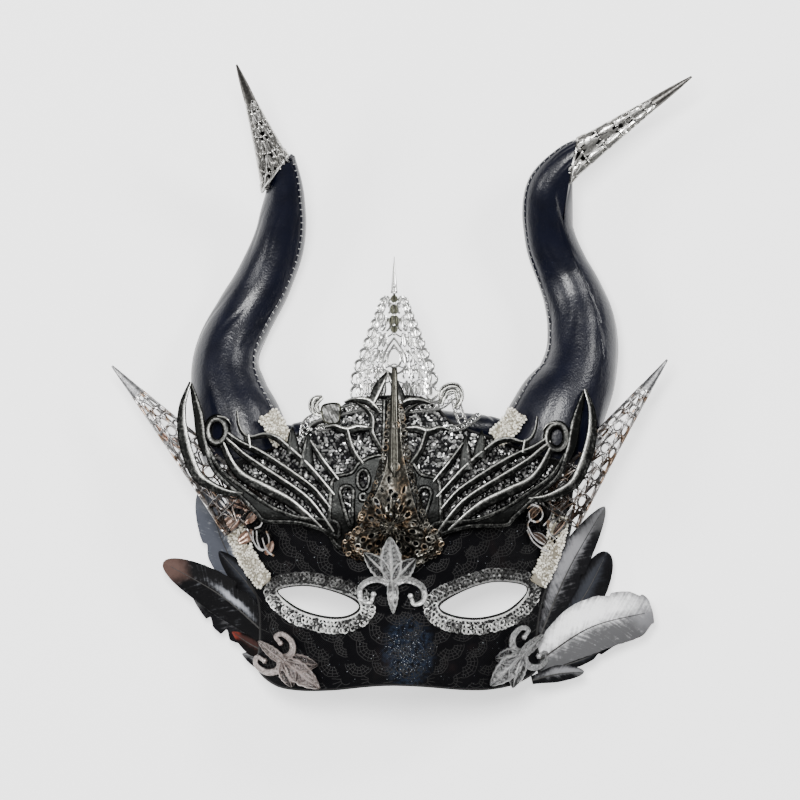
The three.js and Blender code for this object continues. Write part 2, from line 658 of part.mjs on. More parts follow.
// Half width and depth of the claw at heights up the mask
const clawWidths = [
  [20, 23], [26, 22.6], [30, 20.5], [37, 15.2], [50, 12.2], [64, 9.2], [77, 6.8], [95, 3.4],
  [112, 0.9],
];
const clawDepths = [[20, 4], [30, 8.5], [40, 10.5], [60, 8.6], [80, 5.6], [100, 2.8], [112, 1]];
function along(table, y) {
  const k = Math.max(1, table.findIndex(([at]) => at >= y));
  const [[y0, a], [y1, b]] = [table[k - 1], table[k]];
  return mix(a, b, ramp(y0, y1, y));
}
const clawFoot = (y) => crest.height + claw.footLift - crest.footFall * (1 - smooth(...crest.footRange, y));
const clawRows = 9;
const clawColumns = 8;
const clawShell = piercedSheet({
  columns: clawColumns,
  rows: clawRows,
  wraps: false,
  place: (i, j, layer) => {
    const angle = (Math.PI * i) / clawColumns;
    const scallop = j ? 0 : claw.scallopDepth * Math.abs(Math.sin((angle * claw.scallops) / 2));
    const y = mix(claw.skirtY, claw.tipY - 1, (j / clawRows) ** 1.05) - scallop;
    const thinner = layer ? Math.min(claw.wall, along(clawWidths, y) * 0.45) : 0;
    const wide = along(clawWidths, y) - thinner;
    const deep = Math.max(0.5, along(clawDepths, y) - thinner);
    const x = claw.centreX + wide * Math.cos(angle);
    return new THREE.Vector3(x, y, clawFoot(y) + deep * Math.sin(angle));
  },
  isOpen: (i, j) => j < claw.openRows && j % 2 === 1 && i % 2 === 1,
});
const clawMiddleY = (claw.ribFootY + claw.tipY) / 2;
const clawLine = [claw.ribFootY, clawMiddleY, claw.tipY].map((y) => [claw.centreX, y]);
const clawRib = drapedRib(smoothPath(clawLine, 4), {
  halfWidth: (t) => mix(...claw.ribWidths, t),
  height: claw.ribHeight,
  ground: (x, y) => clawFoot(y) + along(clawDepths, y) - claw.ribHeight / 2,
});
const frontSpike = largest(clawShell.add(clawRib).subtract(crestSheet(0, 0.3)));
addPiece("front_spike", frontSpike, "bronze");

// Rear spike with its side scrolls, behind the crest
const rear = {
  centreX: -0.2, footY: 92, shaftY: 150, tipY: 164.2, floor: 55.3,
  depths: [7, 1.8], wall: 1.5, thinning: 0.45,
  shaftFootY: 144, shaftWidths: [2.6, 0.7], shaftHeight: 2, barHeight: 2.2,
};
const rearWidths = [
  [92, 17], [98, 18.4], [106, 18.4], [111, 17.3], [115, 15.8], [120, 13.7], [128, 11], [137, 7.6],
  [146, 4.6], [150, 2.6],
];
const rearColumns = 8;
const rearRows = 6;
const rearShell = piercedSheet({
  columns: rearColumns,
  rows: rearRows,
  wraps: false,
  place: (i, j, layer) => {
    const angle = (Math.PI * i) / rearColumns;
    const y = mix(rear.footY, rear.shaftY, j / rearRows);
    const thinner = layer ? rear.wall * (1 - (rear.thinning * j) / rearRows) : 0;
    const wide = along(rearWidths, y) - thinner;
    const deep = mix(...rear.depths, j / rearRows) - thinner * 0.8;
    const x = rear.centreX + wide * Math.cos(angle);
    return new THREE.Vector3(x, y, rear.floor + deep * Math.sin(angle));
  },
  isOpen: (i, j) => j % 2 === 1 && i % 2 === 1,
});
const rearFlat = () => rear.floor;
const shaftMiddleY = (rear.shaftFootY + rear.tipY) / 2;
const shaftLine = [rear.shaftFootY, shaftMiddleY, rear.tipY].map((y) => [rear.centreX, y]);
const rearShaft = drapedRib(smoothPath(shaftLine, 3), {
  halfWidth: (t) => mix(...rear.shaftWidths, t),
  height: rear.shaftHeight,
  ground: rearFlat,
});
// Scrolls to each side: width at both ends, and points
const rearBars = {
  band: [3.2, 3.2, [[-21, 93.5], [-10, 92], [0, 91.6], [10, 92], [20, 93.5]]],
  leftArm: [3, 3.4, [[-15, 93], [-24, 91], [-34, 89], [-42, 85], [-43.5, 79]]],
  leftCurl: [2, 2.6, [[-34.6, 97.6], [-38.6, 95], [-38, 90.6], [-34, 88.6]]],
  leftBrace: [2.4, 2.4, [[-26, 91.4], [-31, 83.6], [-37, 82.4]]],
  rightArm: [3, 3.4, [[15, 93], [22, 94], [28, 98], [30, 92], [32, 86]]],
  rightCurl: [2, 2.6, [[22, 94], [24, 100.6], [29, 101.6], [31, 97], [29, 92]]],
  rightBar: [2.4, 2.4, [[26, 82], [31.2, 82.8], [36.6, 86], [40, 88.8]]],
};
const rearScrolls = Object.values(rearBars).map(([first, end, points]) =>
  drapedRib(smoothPath(points, 4), {
    halfWidth: (t) => mix(first, end, t) / 2,
    height: rear.barHeight,
    ground: rearFlat,
  }),
);
addPiece("rear_spike", largest(join([rearShell, rearShaft, ...rearScrolls])), "silver");

// Fleurs: three leaves over two volutes and a stem, each a cast piece bent to what it lies on
const fleurHeight = 2.6;
const leafSteps = 3;
const voluteSteps = 6;
const fleurLeaves = [
  [3.6, [[0, 2], [-0.6, 12], [-1, 23.5]]],
  [3, [[-1, 3], [-7, 9], [-14.2, 16.4]]],
  [3, [[1, 3], [6.6, 8], [11.6, 13.6]]],
];
const fleurVolutes = [
  [2.1, [[0, 1], [-5, 3.6], [-10.4, 3.4], [-15, 0], [-14.6, -5.4], [-10.4, -7], [-8.8, -3.2]]],
  [2.1, [[0, 1], [5, 3.6], [9.6, 3.2], [14.6, -0.2], [15, -6.2], [10.6, -8], [8.8, -4]]],
];
const fleurStem = [2.6, [[0, 5], [0.4, -3], [0.6, -12.4]]];
function fleur({ centre, turn, stretch: [wider, longer], ground }) {
  const cos = Math.cos(turn);
  const sin = Math.sin(turn);
  const put = ([x, y]) => [
    centre[0] + wider * x * cos - longer * y * sin,
    centre[1] + wider * x * sin + longer * y * cos,
  ];
  const pointed = (wide) => (t) => 0.25 + wide * Math.sin(Math.PI * t) ** 0.7;
  const rib = ([, points], steps, more) =>
    drapedRib(smoothPath(points.map(put), steps), { ground, ...more });
  const leaf = (one) =>
    rib(one, leafSteps, { halfWidth: pointed(one[0]), height: fleurHeight, section: roofSection });
  const scroll = (one) =>
    rib(one, voluteSteps, {
      halfWidth: (t) => mix(one[0], 1, t),
      height: fleurHeight * 0.9,
      section: roofSection,
    });
  return join([...fleurLeaves.map(leaf), ...fleurVolutes.map(scroll), leaf(fleurStem)]);
}
const onShell = (more) => (x, y) => shellFront(x, y) + clearance + more;
// Up over the inner ends of the eye trims, and up the skirt of the front spike
const browFleurX = -1.4;
const overTrims = { rise: 2.8, from: 5, to: 9 };
const upSkirt = { rise: 17.5, fromY: 5, toY: 31 };
function onSkirt(x, y) {
  const aside = overTrims.rise * smooth(overTrims.from, overTrims.to, Math.abs(x - browFleurX));
  return onShell(trim.lift)(x, y) + aside + upSkirt.rise * ramp(upSkirt.fromY, upSkirt.toY, y);
}
const fleurPlaces = {
  brow_fleur: { centre: [browFleurX, 6.4], turn: 0, stretch: [1, 1], ground: onSkirt },
  cheek_fleur_left: { centre: [-55.9, -27.3], turn: -2.234, stretch: [0.66, 1.01], ground: onShell(0.6) },
  cheek_fleur_right: { centre: [62.9, -24.8], turn: 2.286, stretch: [0.66, 0.957], ground: onShell(0.6) },
};

// Eye trims: looped braid round each opening
const trimStations = 32;
const eyeHeights = [-3, 6];
const eyeTrims = {};
for (const side of ["left", "right"]) {
  const inner = smoothLoop(eyeOutlines[side].map((p) => [p.x, p.y]), trimStations, 0.5);
  const middle = inner.reduce((sum, p) => sum.add(p), new THREE.Vector2()).divideScalar(inner.length);
  const path = inner.map((p, i) => {
    const before = inner[(i + trimStations - 1) % trimStations];
    const after = inner[(i + 1) % trimStations];
    const out = after.clone().sub(before).normalize();
    out.set(out.y, -out.x);
    if (out.dot(p.clone().sub(middle)) < 0) out.negate();
    return p.clone().addScaledVector(out, mix(trim.reach, trim.reachAbove, smooth(...eyeHeights, p.y)));
  });
  eyeTrims[side] = drapedRib(path, {
    halfWidth: (t, i) => trim.halfWidth + (i % 2 ? trim.scallop : 0),
    height: trim.height,
    ground: onShell(trim.lift),
    closed: true,
  });
  addPiece("eye_trim_" + side, eyeTrims[side], "silverBraid");
}
// A solid with room above and below it
const withRoom = (solid, room = 0.5) => join([-room, 0, room].map((rise) => solid.translate([0, 0, rise])));

const fleurSolids = {};
for (const [name, place] of Object.entries(fleurPlaces)) {
  fleurSolids[name] = largest(fleur(place).subtract(withRoom(frontSpike)));
  addPiece(name, fleurSolids[name], "silverPaint");
}

// Temple trims: ivory braid down the edge of the shell, from under each side spike to the eye
const templeTrims = {
  left: [[-77.6, 36], [-74.2, 26], [-68.4, 15.6], [-62.2, 7.6]],
  right: [[79.6, 40], [76.8, 27], [72.4, 15], [68, 7.4]],
};
const templeTrim = { halfWidths: [3.9, 4.4], height: 3.36, lift: 0.2, lowest: 16.5 };
const templeTrimSolids = {};
// They bridge the feathers' roots where the shell falls away
const overRoots = (x, y) => Math.max(onShell(templeTrim.lift)(x, y), templeTrim.lowest);
for (const side of ["left", "right"]) {
  const braid = drapedRib(smoothPath(templeTrims[side], 8), {
    halfWidth: (t, i) => templeTrim.halfWidths[i % 2],
    height: templeTrim.height,
    ground: overRoots,
  });
  const fitted = braid
    .subtract(withRoom(eyeTrims[side], 2))
    .subtract(panelRoom)
    .subtract(belowFloor)
    .subtract(withRoom(sideSpikeSolids[side]));
  templeTrimSolids[side] = largest(fitted);
  addPiece("temple_trim_" + side, templeTrimSolids[side], "ivoryBraid");
}

// Horn-foot trims: the same braid across the foot of each horn
const hornFootTrims = {
  left: { points: [[-61.4, 89.4], [-57, 83], [-53.6, 75]], level: 46 },
  right: { points: [[59, 90], [54.4, 83], [48, 77.4]], level: 47 },
};
const hornTrim = { halfWidths: [4.3, 4.8], height: 5, drop: 4, bandRoom: 1.2 };
for (const side of ["left", "right"]) {
  const { points, level } = hornFootTrims[side];
  const braid = drapedRib(smoothPath(points, 4), {
    halfWidth: (t, i) => hornTrim.halfWidths[i % 2],
    height: hornTrim.height,
    ground: () => level - hornTrim.drop,
  });
  const fitted = braid
    .subtract(hornRoom[side])
    .subtract(panelRoom)
    .subtract(underShell)
    .subtract(withRoom(bandSolid, hornTrim.bandRoom));
  addPiece("horn_trim_" + side, largest(fitted), "ivoryBraid");
}

// Feathers: [root, tip, half width, level at the root, level at the tip, sideways bow, finish]
const featherSteps = 7;
const feathers = {
  left: [
    [[-61.9, -5.8], [-92.2, 53.3], 9.5, 13.5, 12, 4, "greyFeather"],
    [[-59, -19.7], [-111.8, 17.8], 9.5, 21.4, 16.5, -3, "roseFeather"],
    [[-58.1, -22.6], [-98.4, 2.9], 7.5, 17.5, 9.2, 2, "greyFeather"],
    [[-57.1, -14.9], [-85, 23], 6.6, 15.4, 14.2, -2, "blackFeather"],
    [[-57.1, -27.4], [-78.7, -15.8], 4.8, 20.8, 15.2, 1, "roseFeather"],
    [[-57.1, -32.2], [-73.9, -26.4], 4.5, 19.2, 14.4, 0, "greyFeather"],
  ],
  right: [
    [[70.1, -17.3], [101.3, 44.6], 8.6, 20.4, 8, 2, "greyFeather"],
    [[68.6, -22.1], [102.7, 22.6], 8.9, 18.8, 8, -4, "blackFeather"],
    [[68.6, -25.9], [97.4, 7.7], 7.2, 17.2, 7, -2, "blackFeather"],
    [[67.7, -30.7], [124.3, -5.8], 13, 22.4, 15.6, 5, "silverFeather"],
    [[68.6, -35], [109.9, -19.7], 2.7, 20.8, 13, -2, "blackFeather"],
    [[65.8, -38.9], [91.2, -35], 4.1, 26.2, 18, 1, "greyFeather"],
  ],
};
for (const side of ["left", "right"])
  feathers[side].forEach(([rootAt, tipAt, wide, rootLevel, tipLevel, bow, finish], index) => {
    const a = new THREE.Vector2(...rootAt);
    const b = new THREE.Vector2(...tipAt);
    const across = b.clone().sub(a).normalize();
    across.set(-across.y, across.x);
    const middle = a.clone().lerp(b, 0.5).addScaledVector(across, bow);
    const path = smoothPath([a, middle, b].map((p) => p.toArray()), featherSteps);
    const length = a.distanceTo(b);
    const level = (x, y) => {
      const t = b.clone().sub(a).dot(new THREE.Vector2(x, y).sub(a)) / length ** 2;
      return mix(rootLevel, tipLevel, t);
    };
    const vane = (t) => {
      const round = (1 - ramp(feather.roundFrom, 1, t) ** feather.roundness) ** (1 / feather.roundness);
      return 0.3 + wide * mix(feather.rootShare, 1, smooth(0, 0.5, t)) * round;
    };
    const blade = drapedRib(path, {
      halfWidth: vane,
      height: feather.height,
      ground: level,
      section: lensSection,
    });
    const fitted = blade
      .subtract(shellRoom)
      .subtract(withRoom(templeTrimSolids[side], 2.4))
      .subtract(withRoom(fleurSolids["cheek_fleur_" + side]));
    addPiece("feather_" + side + "_" + (index + 1), largest(fitted), finish);
  });

export default root;
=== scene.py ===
import math

import bpy
import numpy as np
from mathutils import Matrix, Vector
from mathutils.geometry import delaunay_2d_cdt


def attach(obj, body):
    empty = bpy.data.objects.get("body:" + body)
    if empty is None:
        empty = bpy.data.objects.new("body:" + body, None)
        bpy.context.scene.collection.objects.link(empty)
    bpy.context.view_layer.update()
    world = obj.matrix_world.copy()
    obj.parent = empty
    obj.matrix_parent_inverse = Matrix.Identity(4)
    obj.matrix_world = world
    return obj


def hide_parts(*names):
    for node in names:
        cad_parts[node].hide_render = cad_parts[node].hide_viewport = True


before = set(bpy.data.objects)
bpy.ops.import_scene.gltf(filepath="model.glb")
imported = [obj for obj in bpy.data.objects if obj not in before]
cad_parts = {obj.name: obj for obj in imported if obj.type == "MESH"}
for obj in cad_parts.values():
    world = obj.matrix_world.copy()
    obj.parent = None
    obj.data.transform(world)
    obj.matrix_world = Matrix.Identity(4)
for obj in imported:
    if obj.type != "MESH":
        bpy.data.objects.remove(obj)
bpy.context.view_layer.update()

# The mask lies on its back. Places are in millimetres from the bridge of the nose, as the part's own are,
# and are moved to the foot of the part when a piece is finished.
milli = 0.001
maskShift = np.array([-3.3, -106.6, 0.0])
dice = np.random.default_rng(1807)


def smoothStep(a, b, x):  # r squared times 3 less 2r, where r runs 0 to 1 from a to b
    r = np.clip((x - a) / (b - a), 0, 1)
    return r * r * (3 - 2 * r)


def mixed(a, b, t):  # a at 0 and b at 1
    return a + (b - a) * t


def unit(v):  # a vector over its own length
    return v / np.maximum(np.linalg.norm(v, axis=-1, keepdims=True), 1e-9)


def ripple(x, y, z=0.0):  # three crossed sine waves, between about -1 and 1
    slow = np.sin(1.3 * y + 1.1 * np.sin(0.7 * z + x))
    return (np.sin(x + 1.7 * np.sin(0.6 * y)) + slow + np.sin(1.1 * z + y)) / 3


def roundTurns(count, shift=0.0):  # angles that part a full turn evenly, the first at a share of a step
    return 2 * math.pi * (np.arange(count) + shift) / count


def turned(x, y, angle):  # places in plan turned about the origin
    return np.stack([x * np.cos(angle) - y * np.sin(angle), x * np.sin(angle) + y * np.cos(angle)], -1)


def onGround(spots, ground, lift):  # places in plan set on a ground and lifted
    return np.column_stack([spots, ground(*spots.T) + lift])


def curveThrough(points, t, closed=False, plain=False):
    # A cubic between each two points. Its end slopes are half the step across the point when plain,
    # and otherwise weigh the steps by the roots of their lengths
    p = np.asarray(points, float)
    spans = len(p) if closed else len(p) - 1
    ends = (p[-1:], p[:1], p[1:2]) if closed else (2 * p[:1] - p[1:2], 2 * p[-1:] - p[-2:-1], p[-1:])
    run = np.vstack([ends[0], p, ends[1], ends[2]])
    s = np.clip(t, 0, 1) * spans
    i = np.minimum(s.astype(int), spans - 1)
    w = (s - i)[:, None]
    a, b, c, d = run[i], run[i + 1], run[i + 2], run[i + 3]
    if plain:
        leave, arrive = (c - a) / 2, (d - b) / 2
    else:
        g0, g1, g2 = [np.sqrt(np.linalg.norm(v, axis=1, keepdims=True)) + 1e-9 for v in (b - a, c - b, d - c)]
        leave = ((b - a) / g0 - (c - a) / (g0 + g1) + (c - b) / g1) * g1
        arrive = ((c - b) / g1 - (d - b) / (g1 + g2) + (d - c) / g2) * g1
    return b + w * leave + w**2 * (3 * (c - b) - 2 * leave - arrive) + w**3 * (2 * (b - c) + leave + arrive)


def evenly(points, count, closed=False):  # places at equal distances along a line of many points
    p = np.vstack([points, points[:1]]) if closed else np.asarray(points)
    run = np.concatenate([[0], np.cumsum(np.linalg.norm(np.diff(p, axis=0), axis=1))])
    at = np.linspace(0, run[-1], count, endpoint=not closed)
    return np.stack([np.interp(at, run, p[:, k]) for k in range(p.shape[1])], axis=1)


def lengthOf(points):
    return float(np.linalg.norm(np.diff(points, axis=0), axis=1).sum())


def smoothLine(points, spacing):  # an even line through a few points, a step every so many millimetres
    fine = curveThrough(points, np.linspace(0, 1, 40 * len(points)))
    return evenly(fine, max(3, int(lengthOf(fine) / spacing) + 1))


def smoothLoop(points, spacing):  # an even closed line through a few points
    t = np.linspace(0, 1, 40 * len(points), endpoint=False)
    fine = curveThrough(points, t, closed=True, plain=True)
    return evenly(fine, max(8, int(lengthOf(fine) / spacing)), closed=True)


def gridFaces(rows, columns, wrapRows=False, wrapColumns=False):  # four-sided faces between rows of points
    i = np.arange(rows if wrapRows else rows - 1)[:, None]
    j = np.arange(columns if wrapColumns else columns - 1)[None, :]
    nextI, nextJ = (i + 1) % rows, (j + 1) % columns
    corners = [i * columns + j, i * columns + nextJ, nextI * columns + nextJ, nextI * columns + j]
    return np.stack(np.broadcast_arrays(*corners), -1).reshape(-1, 4)


def copiesOf(faces, count, size):  # the same faces again for each copy, a number of points further on
    return (faces[None] + (np.arange(count) * size)[:, None, None]).reshape(-1, faces.shape[1])


def swept(paths, across, rise, up=(0, 0, 1), closed=False, ground=None):
    # A section carried along paths: each corner is its across to the right of the path and its rise along up.
    # On a ground, a corner's height is the ground's at its own place plus the rise
    paths = np.asarray(paths, float)
    if paths.ndim == 2:
        paths = paths[None]
    if paths.shape[-1] == 2:
        paths = np.concatenate([paths, np.zeros(paths.shape[:-1] + (1,))], -1)
    w, s = paths.shape[:2]
    k = np.shape(across)[-1]
    across = np.broadcast_to(across, (w, s, k))[..., None]
    rise = np.broadcast_to(rise, (w, s, k))[..., None]
    ahead = np.roll(paths, -1, 1) - np.roll(paths, 1, 1) if closed else np.gradient(paths, axis=1)
    along = unit(ahead)
    side = unit(np.cross(along, np.broadcast_to(up, paths.shape)))
    front = np.cross(side, along)
    rings = paths[:, :, None] + across * side[:, :, None] + (0 if ground else rise) * front[:, :, None]
    if ground:
        rings[..., 2] = ground(rings[..., 0], rings[..., 1]) + rise[..., 0]
    faces = [copiesOf(gridFaces(s, k, closed, True), w, s * k)]
    run = np.broadcast_to(np.linspace(0, 1, s)[None, :, None], (w, s, k))
    turn = np.broadcast_to(np.linspace(-1, 1, k), (w, s, k))
    place = np.stack([run, turn], -1).reshape(-1, 2)
    points = rings.reshape(-1, 3)
    if not closed:
        first, last = rings[:, 0].mean(1), rings[:, -1].mean(1)
        middle = w * s * k + np.arange(w)
        corner = np.arange(k)
        start = (np.arange(w) * s * k)[:, None]
        ring = np.stack([corner, (corner + 1) % k], -1)
        lowFan = np.stack(np.broadcast_arrays(middle[:, None], start + ring[:, 1], start + ring[:, 0]), -1)
        end = start + (s - 1) * k
        highFan = np.stack(np.broadcast_arrays(middle[:, None] + w, end + ring[:, 0], end + ring[:, 1]), -1)
        faces += [lowFan.reshape(-1, 3), highFan.reshape(-1, 3)]
        points = np.vstack([points, first, last])
        ends = np.zeros((2 * w, 2))
        ends[w:, 0] = 1
        place = np.vstack([place, ends])
    return points, faces, place


def wires(paths, radius, up=(0, 0, 1), sides=6, flat=1.0, closed=False, ground=None):
    # Round wires: the section is a circle of the radius, flattened along up
    paths = np.asarray(paths, float)
    if paths.ndim == 2:
        paths = paths[None]
    angle = roundTurns(sides, 0.5)
    size = np.broadcast_to(radius, paths.shape[:2])[..., None]
    return swept(paths, size * np.cos(angle), flat * size * np.sin(angle), up, closed, ground)


def insideOf(points, loop):  # true where a line to the right crosses the loop an odd number of times
    x, y = points[:, 0, None], points[:, 1, None]
    x0, y0 = loop[:, 0], loop[:, 1]
    x1, y1 = np.roll(x0, -1), np.roll(y0, -1)
    step = np.where(y1 == y0, 1e-9, y1 - y0)
    crosses = ((y0 > y) != (y1 > y)) & (x < (x1 - x0) * (y - y0) / step + x0)
    return crosses.sum(1) % 2 == 1


def within(points, outline, holes):  # inside the outline and outside the holes
    keep = insideOf(points, outline)
    for hole in holes:
        keep &= ~insideOf(points, hole)
    return keep


def staggered(outline, spacing):  # a field of places in even rows, each row shifted by half a step
    (x0, y0), (x1, y1) = outline.min(0), outline.max(0)
    x, y = np.meshgrid(np.arange(x0, x1, spacing), np.arange(y0, y1, spacing * 0.87))
    x[1::2] += spacing / 2
    return np.stack([x.ravel(), y.ravel()], 1)


def nearest(points, others):  # distance from each point to the closest of the others
    parts = np.array_split(points, max(1, len(points) * len(others) // 4000000 + 1))
    return np.concatenate([np.sqrt(((p[:, None] - others[None]) ** 2).sum(-1).min(1)) for p in parts])


def platePlan(outline, holes, cell):
    # Points in plan: the outline, the holes and an even field between them, joined into triangles
    loops = [np.asarray(outline, float)] + [np.asarray(hole, float) for hole in holes]
    edge = np.vstack(loops)
    field = staggered(loops[0], cell)
    field = field[within(field, loops[0], loops[1:])]
    field = field[nearest(field, edge) > cell * 0.6]
    counts = [len(loop) for loop in loops]
    pairs = np.vstack([np.stack([a + np.arange(n), a + (np.arange(n) + 1) % n], 1)
                       for a, n in zip(np.cumsum([0] + counts), counts)])
    given = [Vector(p) for p in np.vstack([edge, field]).tolist()]
    made = delaunay_2d_cdt(given, pairs.tolist(), [], 0, 1e-6)
    points = np.array([tuple(p) for p in made[0]])
    faces = np.array([tuple(f) for f in made[2]])
    keep = within(points[faces].mean(1), loops[0], loops[1:])
    return points, faces[keep], edge


def plate(outline, holes, cell, front, back, hem=1.0):
    # A plate between two heights of x and y, closed by walls. Its tone is 1 on an edge and falls to 0 inwards
    plan, faces, edge = platePlan(outline, holes, cell)
    used, faces = np.unique(faces, return_inverse=True)
    plan, faces = plan[used], faces.reshape(-1, 3)
    n = len(plan)
    x, y = plan.T
    top = np.stack([x, y, front(x, y)], 1)
    low = np.stack([x, y, back(x, y)], 1)
    ahead = np.vstack([faces[:, [0, 1]], faces[:, [1, 2]], faces[:, [2, 0]]])
    rim = ahead[~np.isin(ahead[:, 0] * n + ahead[:, 1], ahead[:, 1] * n + ahead[:, 0])]
    walls = np.stack([rim[:, 1], rim[:, 0], rim[:, 0] + n, rim[:, 1] + n], 1)
    tone = np.exp(-nearest(plan, edge) / hem)
    tones, places = np.concatenate([tone, tone]), np.vstack([plan, plan])
    return np.vstack([top, low]), faces, faces[:, ::-1] + n, walls, tones, places


# Small shapes to repeat, each six-sided and about 1 in radius: a round bead, a rod along X and a cut stone
sixth = roundTurns(6)
corners = [(j, (j + 1) % 6) for j in range(6)]
ballRings = [(math.sin(r), math.cos(r)) for r in (math.pi / 4, math.pi / 2, 3 * math.pi / 4)]
ballSides = [[r * math.cos(a), r * math.sin(a), z] for r, z in ballRings for a in sixth]
ball = (np.array([[0, 0, 1], *ballSides, [0, 0, -1]]),
        [1 + gridFaces(3, 6, False, True),
         np.array([[0, 1 + k, 1 + j] for j, k in corners] + [[19, 13 + j, 13 + k] for j, k in corners])])
rodRings = [(-1, 0.55), (-0.72, 1), (0.72, 1), (1, 0.55)]
rodSides = [[x, r * math.cos(a), r * math.sin(a)] for x, r in rodRings for a in sixth]
rod = (np.array(rodSides + [[-1, 0, 0], [1, 0, 0]]),
       [gridFaces(4, 6, False, True)[:, ::-1],
        np.array([[24, j, k] for j, k in corners] + [[25, 18 + k, 18 + j] for j, k in corners])])
cutRings = [(0.5, 1, 0), (1, 0.35, 0.3), (0.8, 0, 0)]
cutSides = [[r * math.cos(a + turn), r * math.sin(a + turn), z] for r, z, turn in cutRings for a in sixth]
cutStone = (np.array(cutSides),
            [gridFaces(3, 6, False, True), np.array([[0, k + 1, k] for k in range(1, 5)]),
             np.array([[12, 12 + k, 13 + k] for k in range(1, 5)])])


def framesOn(normals, turns):  # three axes: the third along the normal, the first turned about it
    helper = np.where(np.abs(normals[:, 1:2]) > 0.9, [[1.0, 0, 0]], [[0, 1.0, 0]])
    a = unit(np.cross(helper, normals))
    b = np.cross(normals, a)
    c, s = np.cos(turns)[:, None], np.sin(turns)[:, None]
    return np.stack([a * c + b * s, b * c - a * s, normals], -1)


def stamped(rows, faces, centres, frames, sizes):
    # Copies of a small shape, each with its own axes and sizes
    sizes = np.asarray(sizes, float)
    sizes = np.broadcast_to(sizes[:, None] if sizes.ndim == 1 else sizes, (len(centres), 3))
    shaped = rows[None] * sizes[:, None]
    points = centres[:, None] + np.einsum("nij,nkj->nki", frames, shaped)
    return points.reshape(-1, 3), [copiesOf(f, len(centres), len(rows)) for f in faces]


def upright(count):  # the same plain axes for each copy
    return np.broadcast_to(np.eye(3), (count, 3, 3))


def capped(rings):  # rings joined one to the next, and each end closed by a fan about its ring's middle
    rows, columns = rings.shape[:2]
    n = rows * columns
    ring = np.stack([np.arange(columns), (np.arange(columns) + 1) % columns], 1)
    low = np.column_stack([np.full(columns, n), ring[:, 1], ring[:, 0]])
    high = np.column_stack([np.full(columns, n + 1), ring + n - columns])
    points = np.vstack([rings.reshape(-1, 3), rings[0].mean(0), rings[-1].mean(0)])
    return points, [gridFaces(rows, columns, False, True), low, high]


class Piece:
    # Gathers the surfaces of one piece: a face has a finish, a point a place along and across, and a tone
    def __init__(self):
        self.points, self.faces, self.finishes, self.places, self.tones = [], [], [], [], []
        self.count = 0

    def add(self, points, faces, finish=0, place=None, tone=0.0):
        # Faces outward: six times the volume is the sum of each face's corners' triple product
        faces = faces if isinstance(faces, list) else [faces]
        volume = sum(np.einsum("ij,ij->", points[f[:, a]], np.cross(points[f[:, b]], points[f[:, c]]))
                     for f in faces for a, b, c in [(0, 1, 2), (0, 2, 3)][: f.shape[1] - 2])
        faces = [f[:, ::-1] for f in faces] if volume < 0 else faces
        self.points.append(points)
        self.places.append(np.zeros((len(points), 2)) if place is None else place)
        self.tones.append(np.broadcast_to(tone, (len(points),)))
        for f in faces:
            self.faces.append(f + self.count)
            self.finishes.append(np.full(len(f), finish))
        self.count += len(points)

    def addSwept(self, path, across, rise, finish=0, tone=0.0, **shape):
        # Where each corner has its own tone, the two end points have none
        points, faces, place = swept(path, across, rise, **shape)
        if np.ndim(tone):
            tone = np.concatenate([np.ravel(tone), np.zeros(len(points) - np.size(tone))])
        self.add(points, faces, finish, place, tone)

    def addWires(self, paths, radius, finish=0, tone=0.0, **shape):
        points, faces, place = wires(paths, radius, **shape)
        self.add(points, faces, finish, place, tone)

    def addPlate(self, outline, holes, cell, front, back, hem=1.0, finish=0, tones=(0, 0), behindFinish=None):
        # Tones are the one inwards, and what an edge has more
        points, face, behind, walls, edge, place = plate(outline, holes, cell, front, back, hem)
        self.add(points, [face, behind, walls], finish, place, tones[0] + tones[1] * edge)
        if behindFinish is not None:
            self.finishes[-2] = np.full(len(behind), behindFinish)

    def addStones(self, stone, centres, frames, sizes, finish=0, tones=0.0):
        points, faces = stamped(*stone, centres, frames, sizes)
        each = np.repeat(np.broadcast_to(tones, (len(centres),)), len(stone[0]))
        self.add(points, faces, finish, tone=each)

    def build(self, name, finishes, node, sharp=45):
        points = (np.vstack(self.points) + maskShift) * milli
        loops = np.concatenate([f.ravel() for f in self.faces])
        sizes = np.concatenate([np.full(len(f), f.shape[1]) for f in self.faces])
        mesh = bpy.data.meshes.new(name)
        mesh.vertices.add(len(points))
        mesh.vertices.foreach_set("co", points.ravel())
        mesh.loops.add(len(loops))
        mesh.loops.foreach_set("vertex_index", loops.astype(np.int32))
        mesh.polygons.add(len(sizes))
        mesh.polygons.foreach_set("loop_start", (np.cumsum(sizes) - sizes).astype(np.int32))
        mesh.polygons.foreach_set("material_index", np.concatenate(self.finishes).astype(np.int32))
        place = mesh.attributes.new("place", "FLOAT2", "POINT")
        place.data.foreach_set("vector", np.vstack(self.places).ravel())
        tone = mesh.attributes.new("tone", "FLOAT", "POINT")
        tone.data.foreach_set("value", np.concatenate(self.tones))
        mesh.update(calc_edges=True)
        mesh.polygons.foreach_set("use_smooth", np.ones(len(sizes), bool))
        mesh.validate()
        mesh.set_sharp_from_angle(angle=math.radians(sharp))
        for finish in finishes:
            mesh.materials.append(finish.material)
        made = bpy.data.objects.new(name, mesh)
        bpy.context.scene.collection.objects.link(made)
        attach(made, "root")
        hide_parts(node)
        print(name, len(points), "points", int((sizes - 2).sum()), "triangles")
        return made


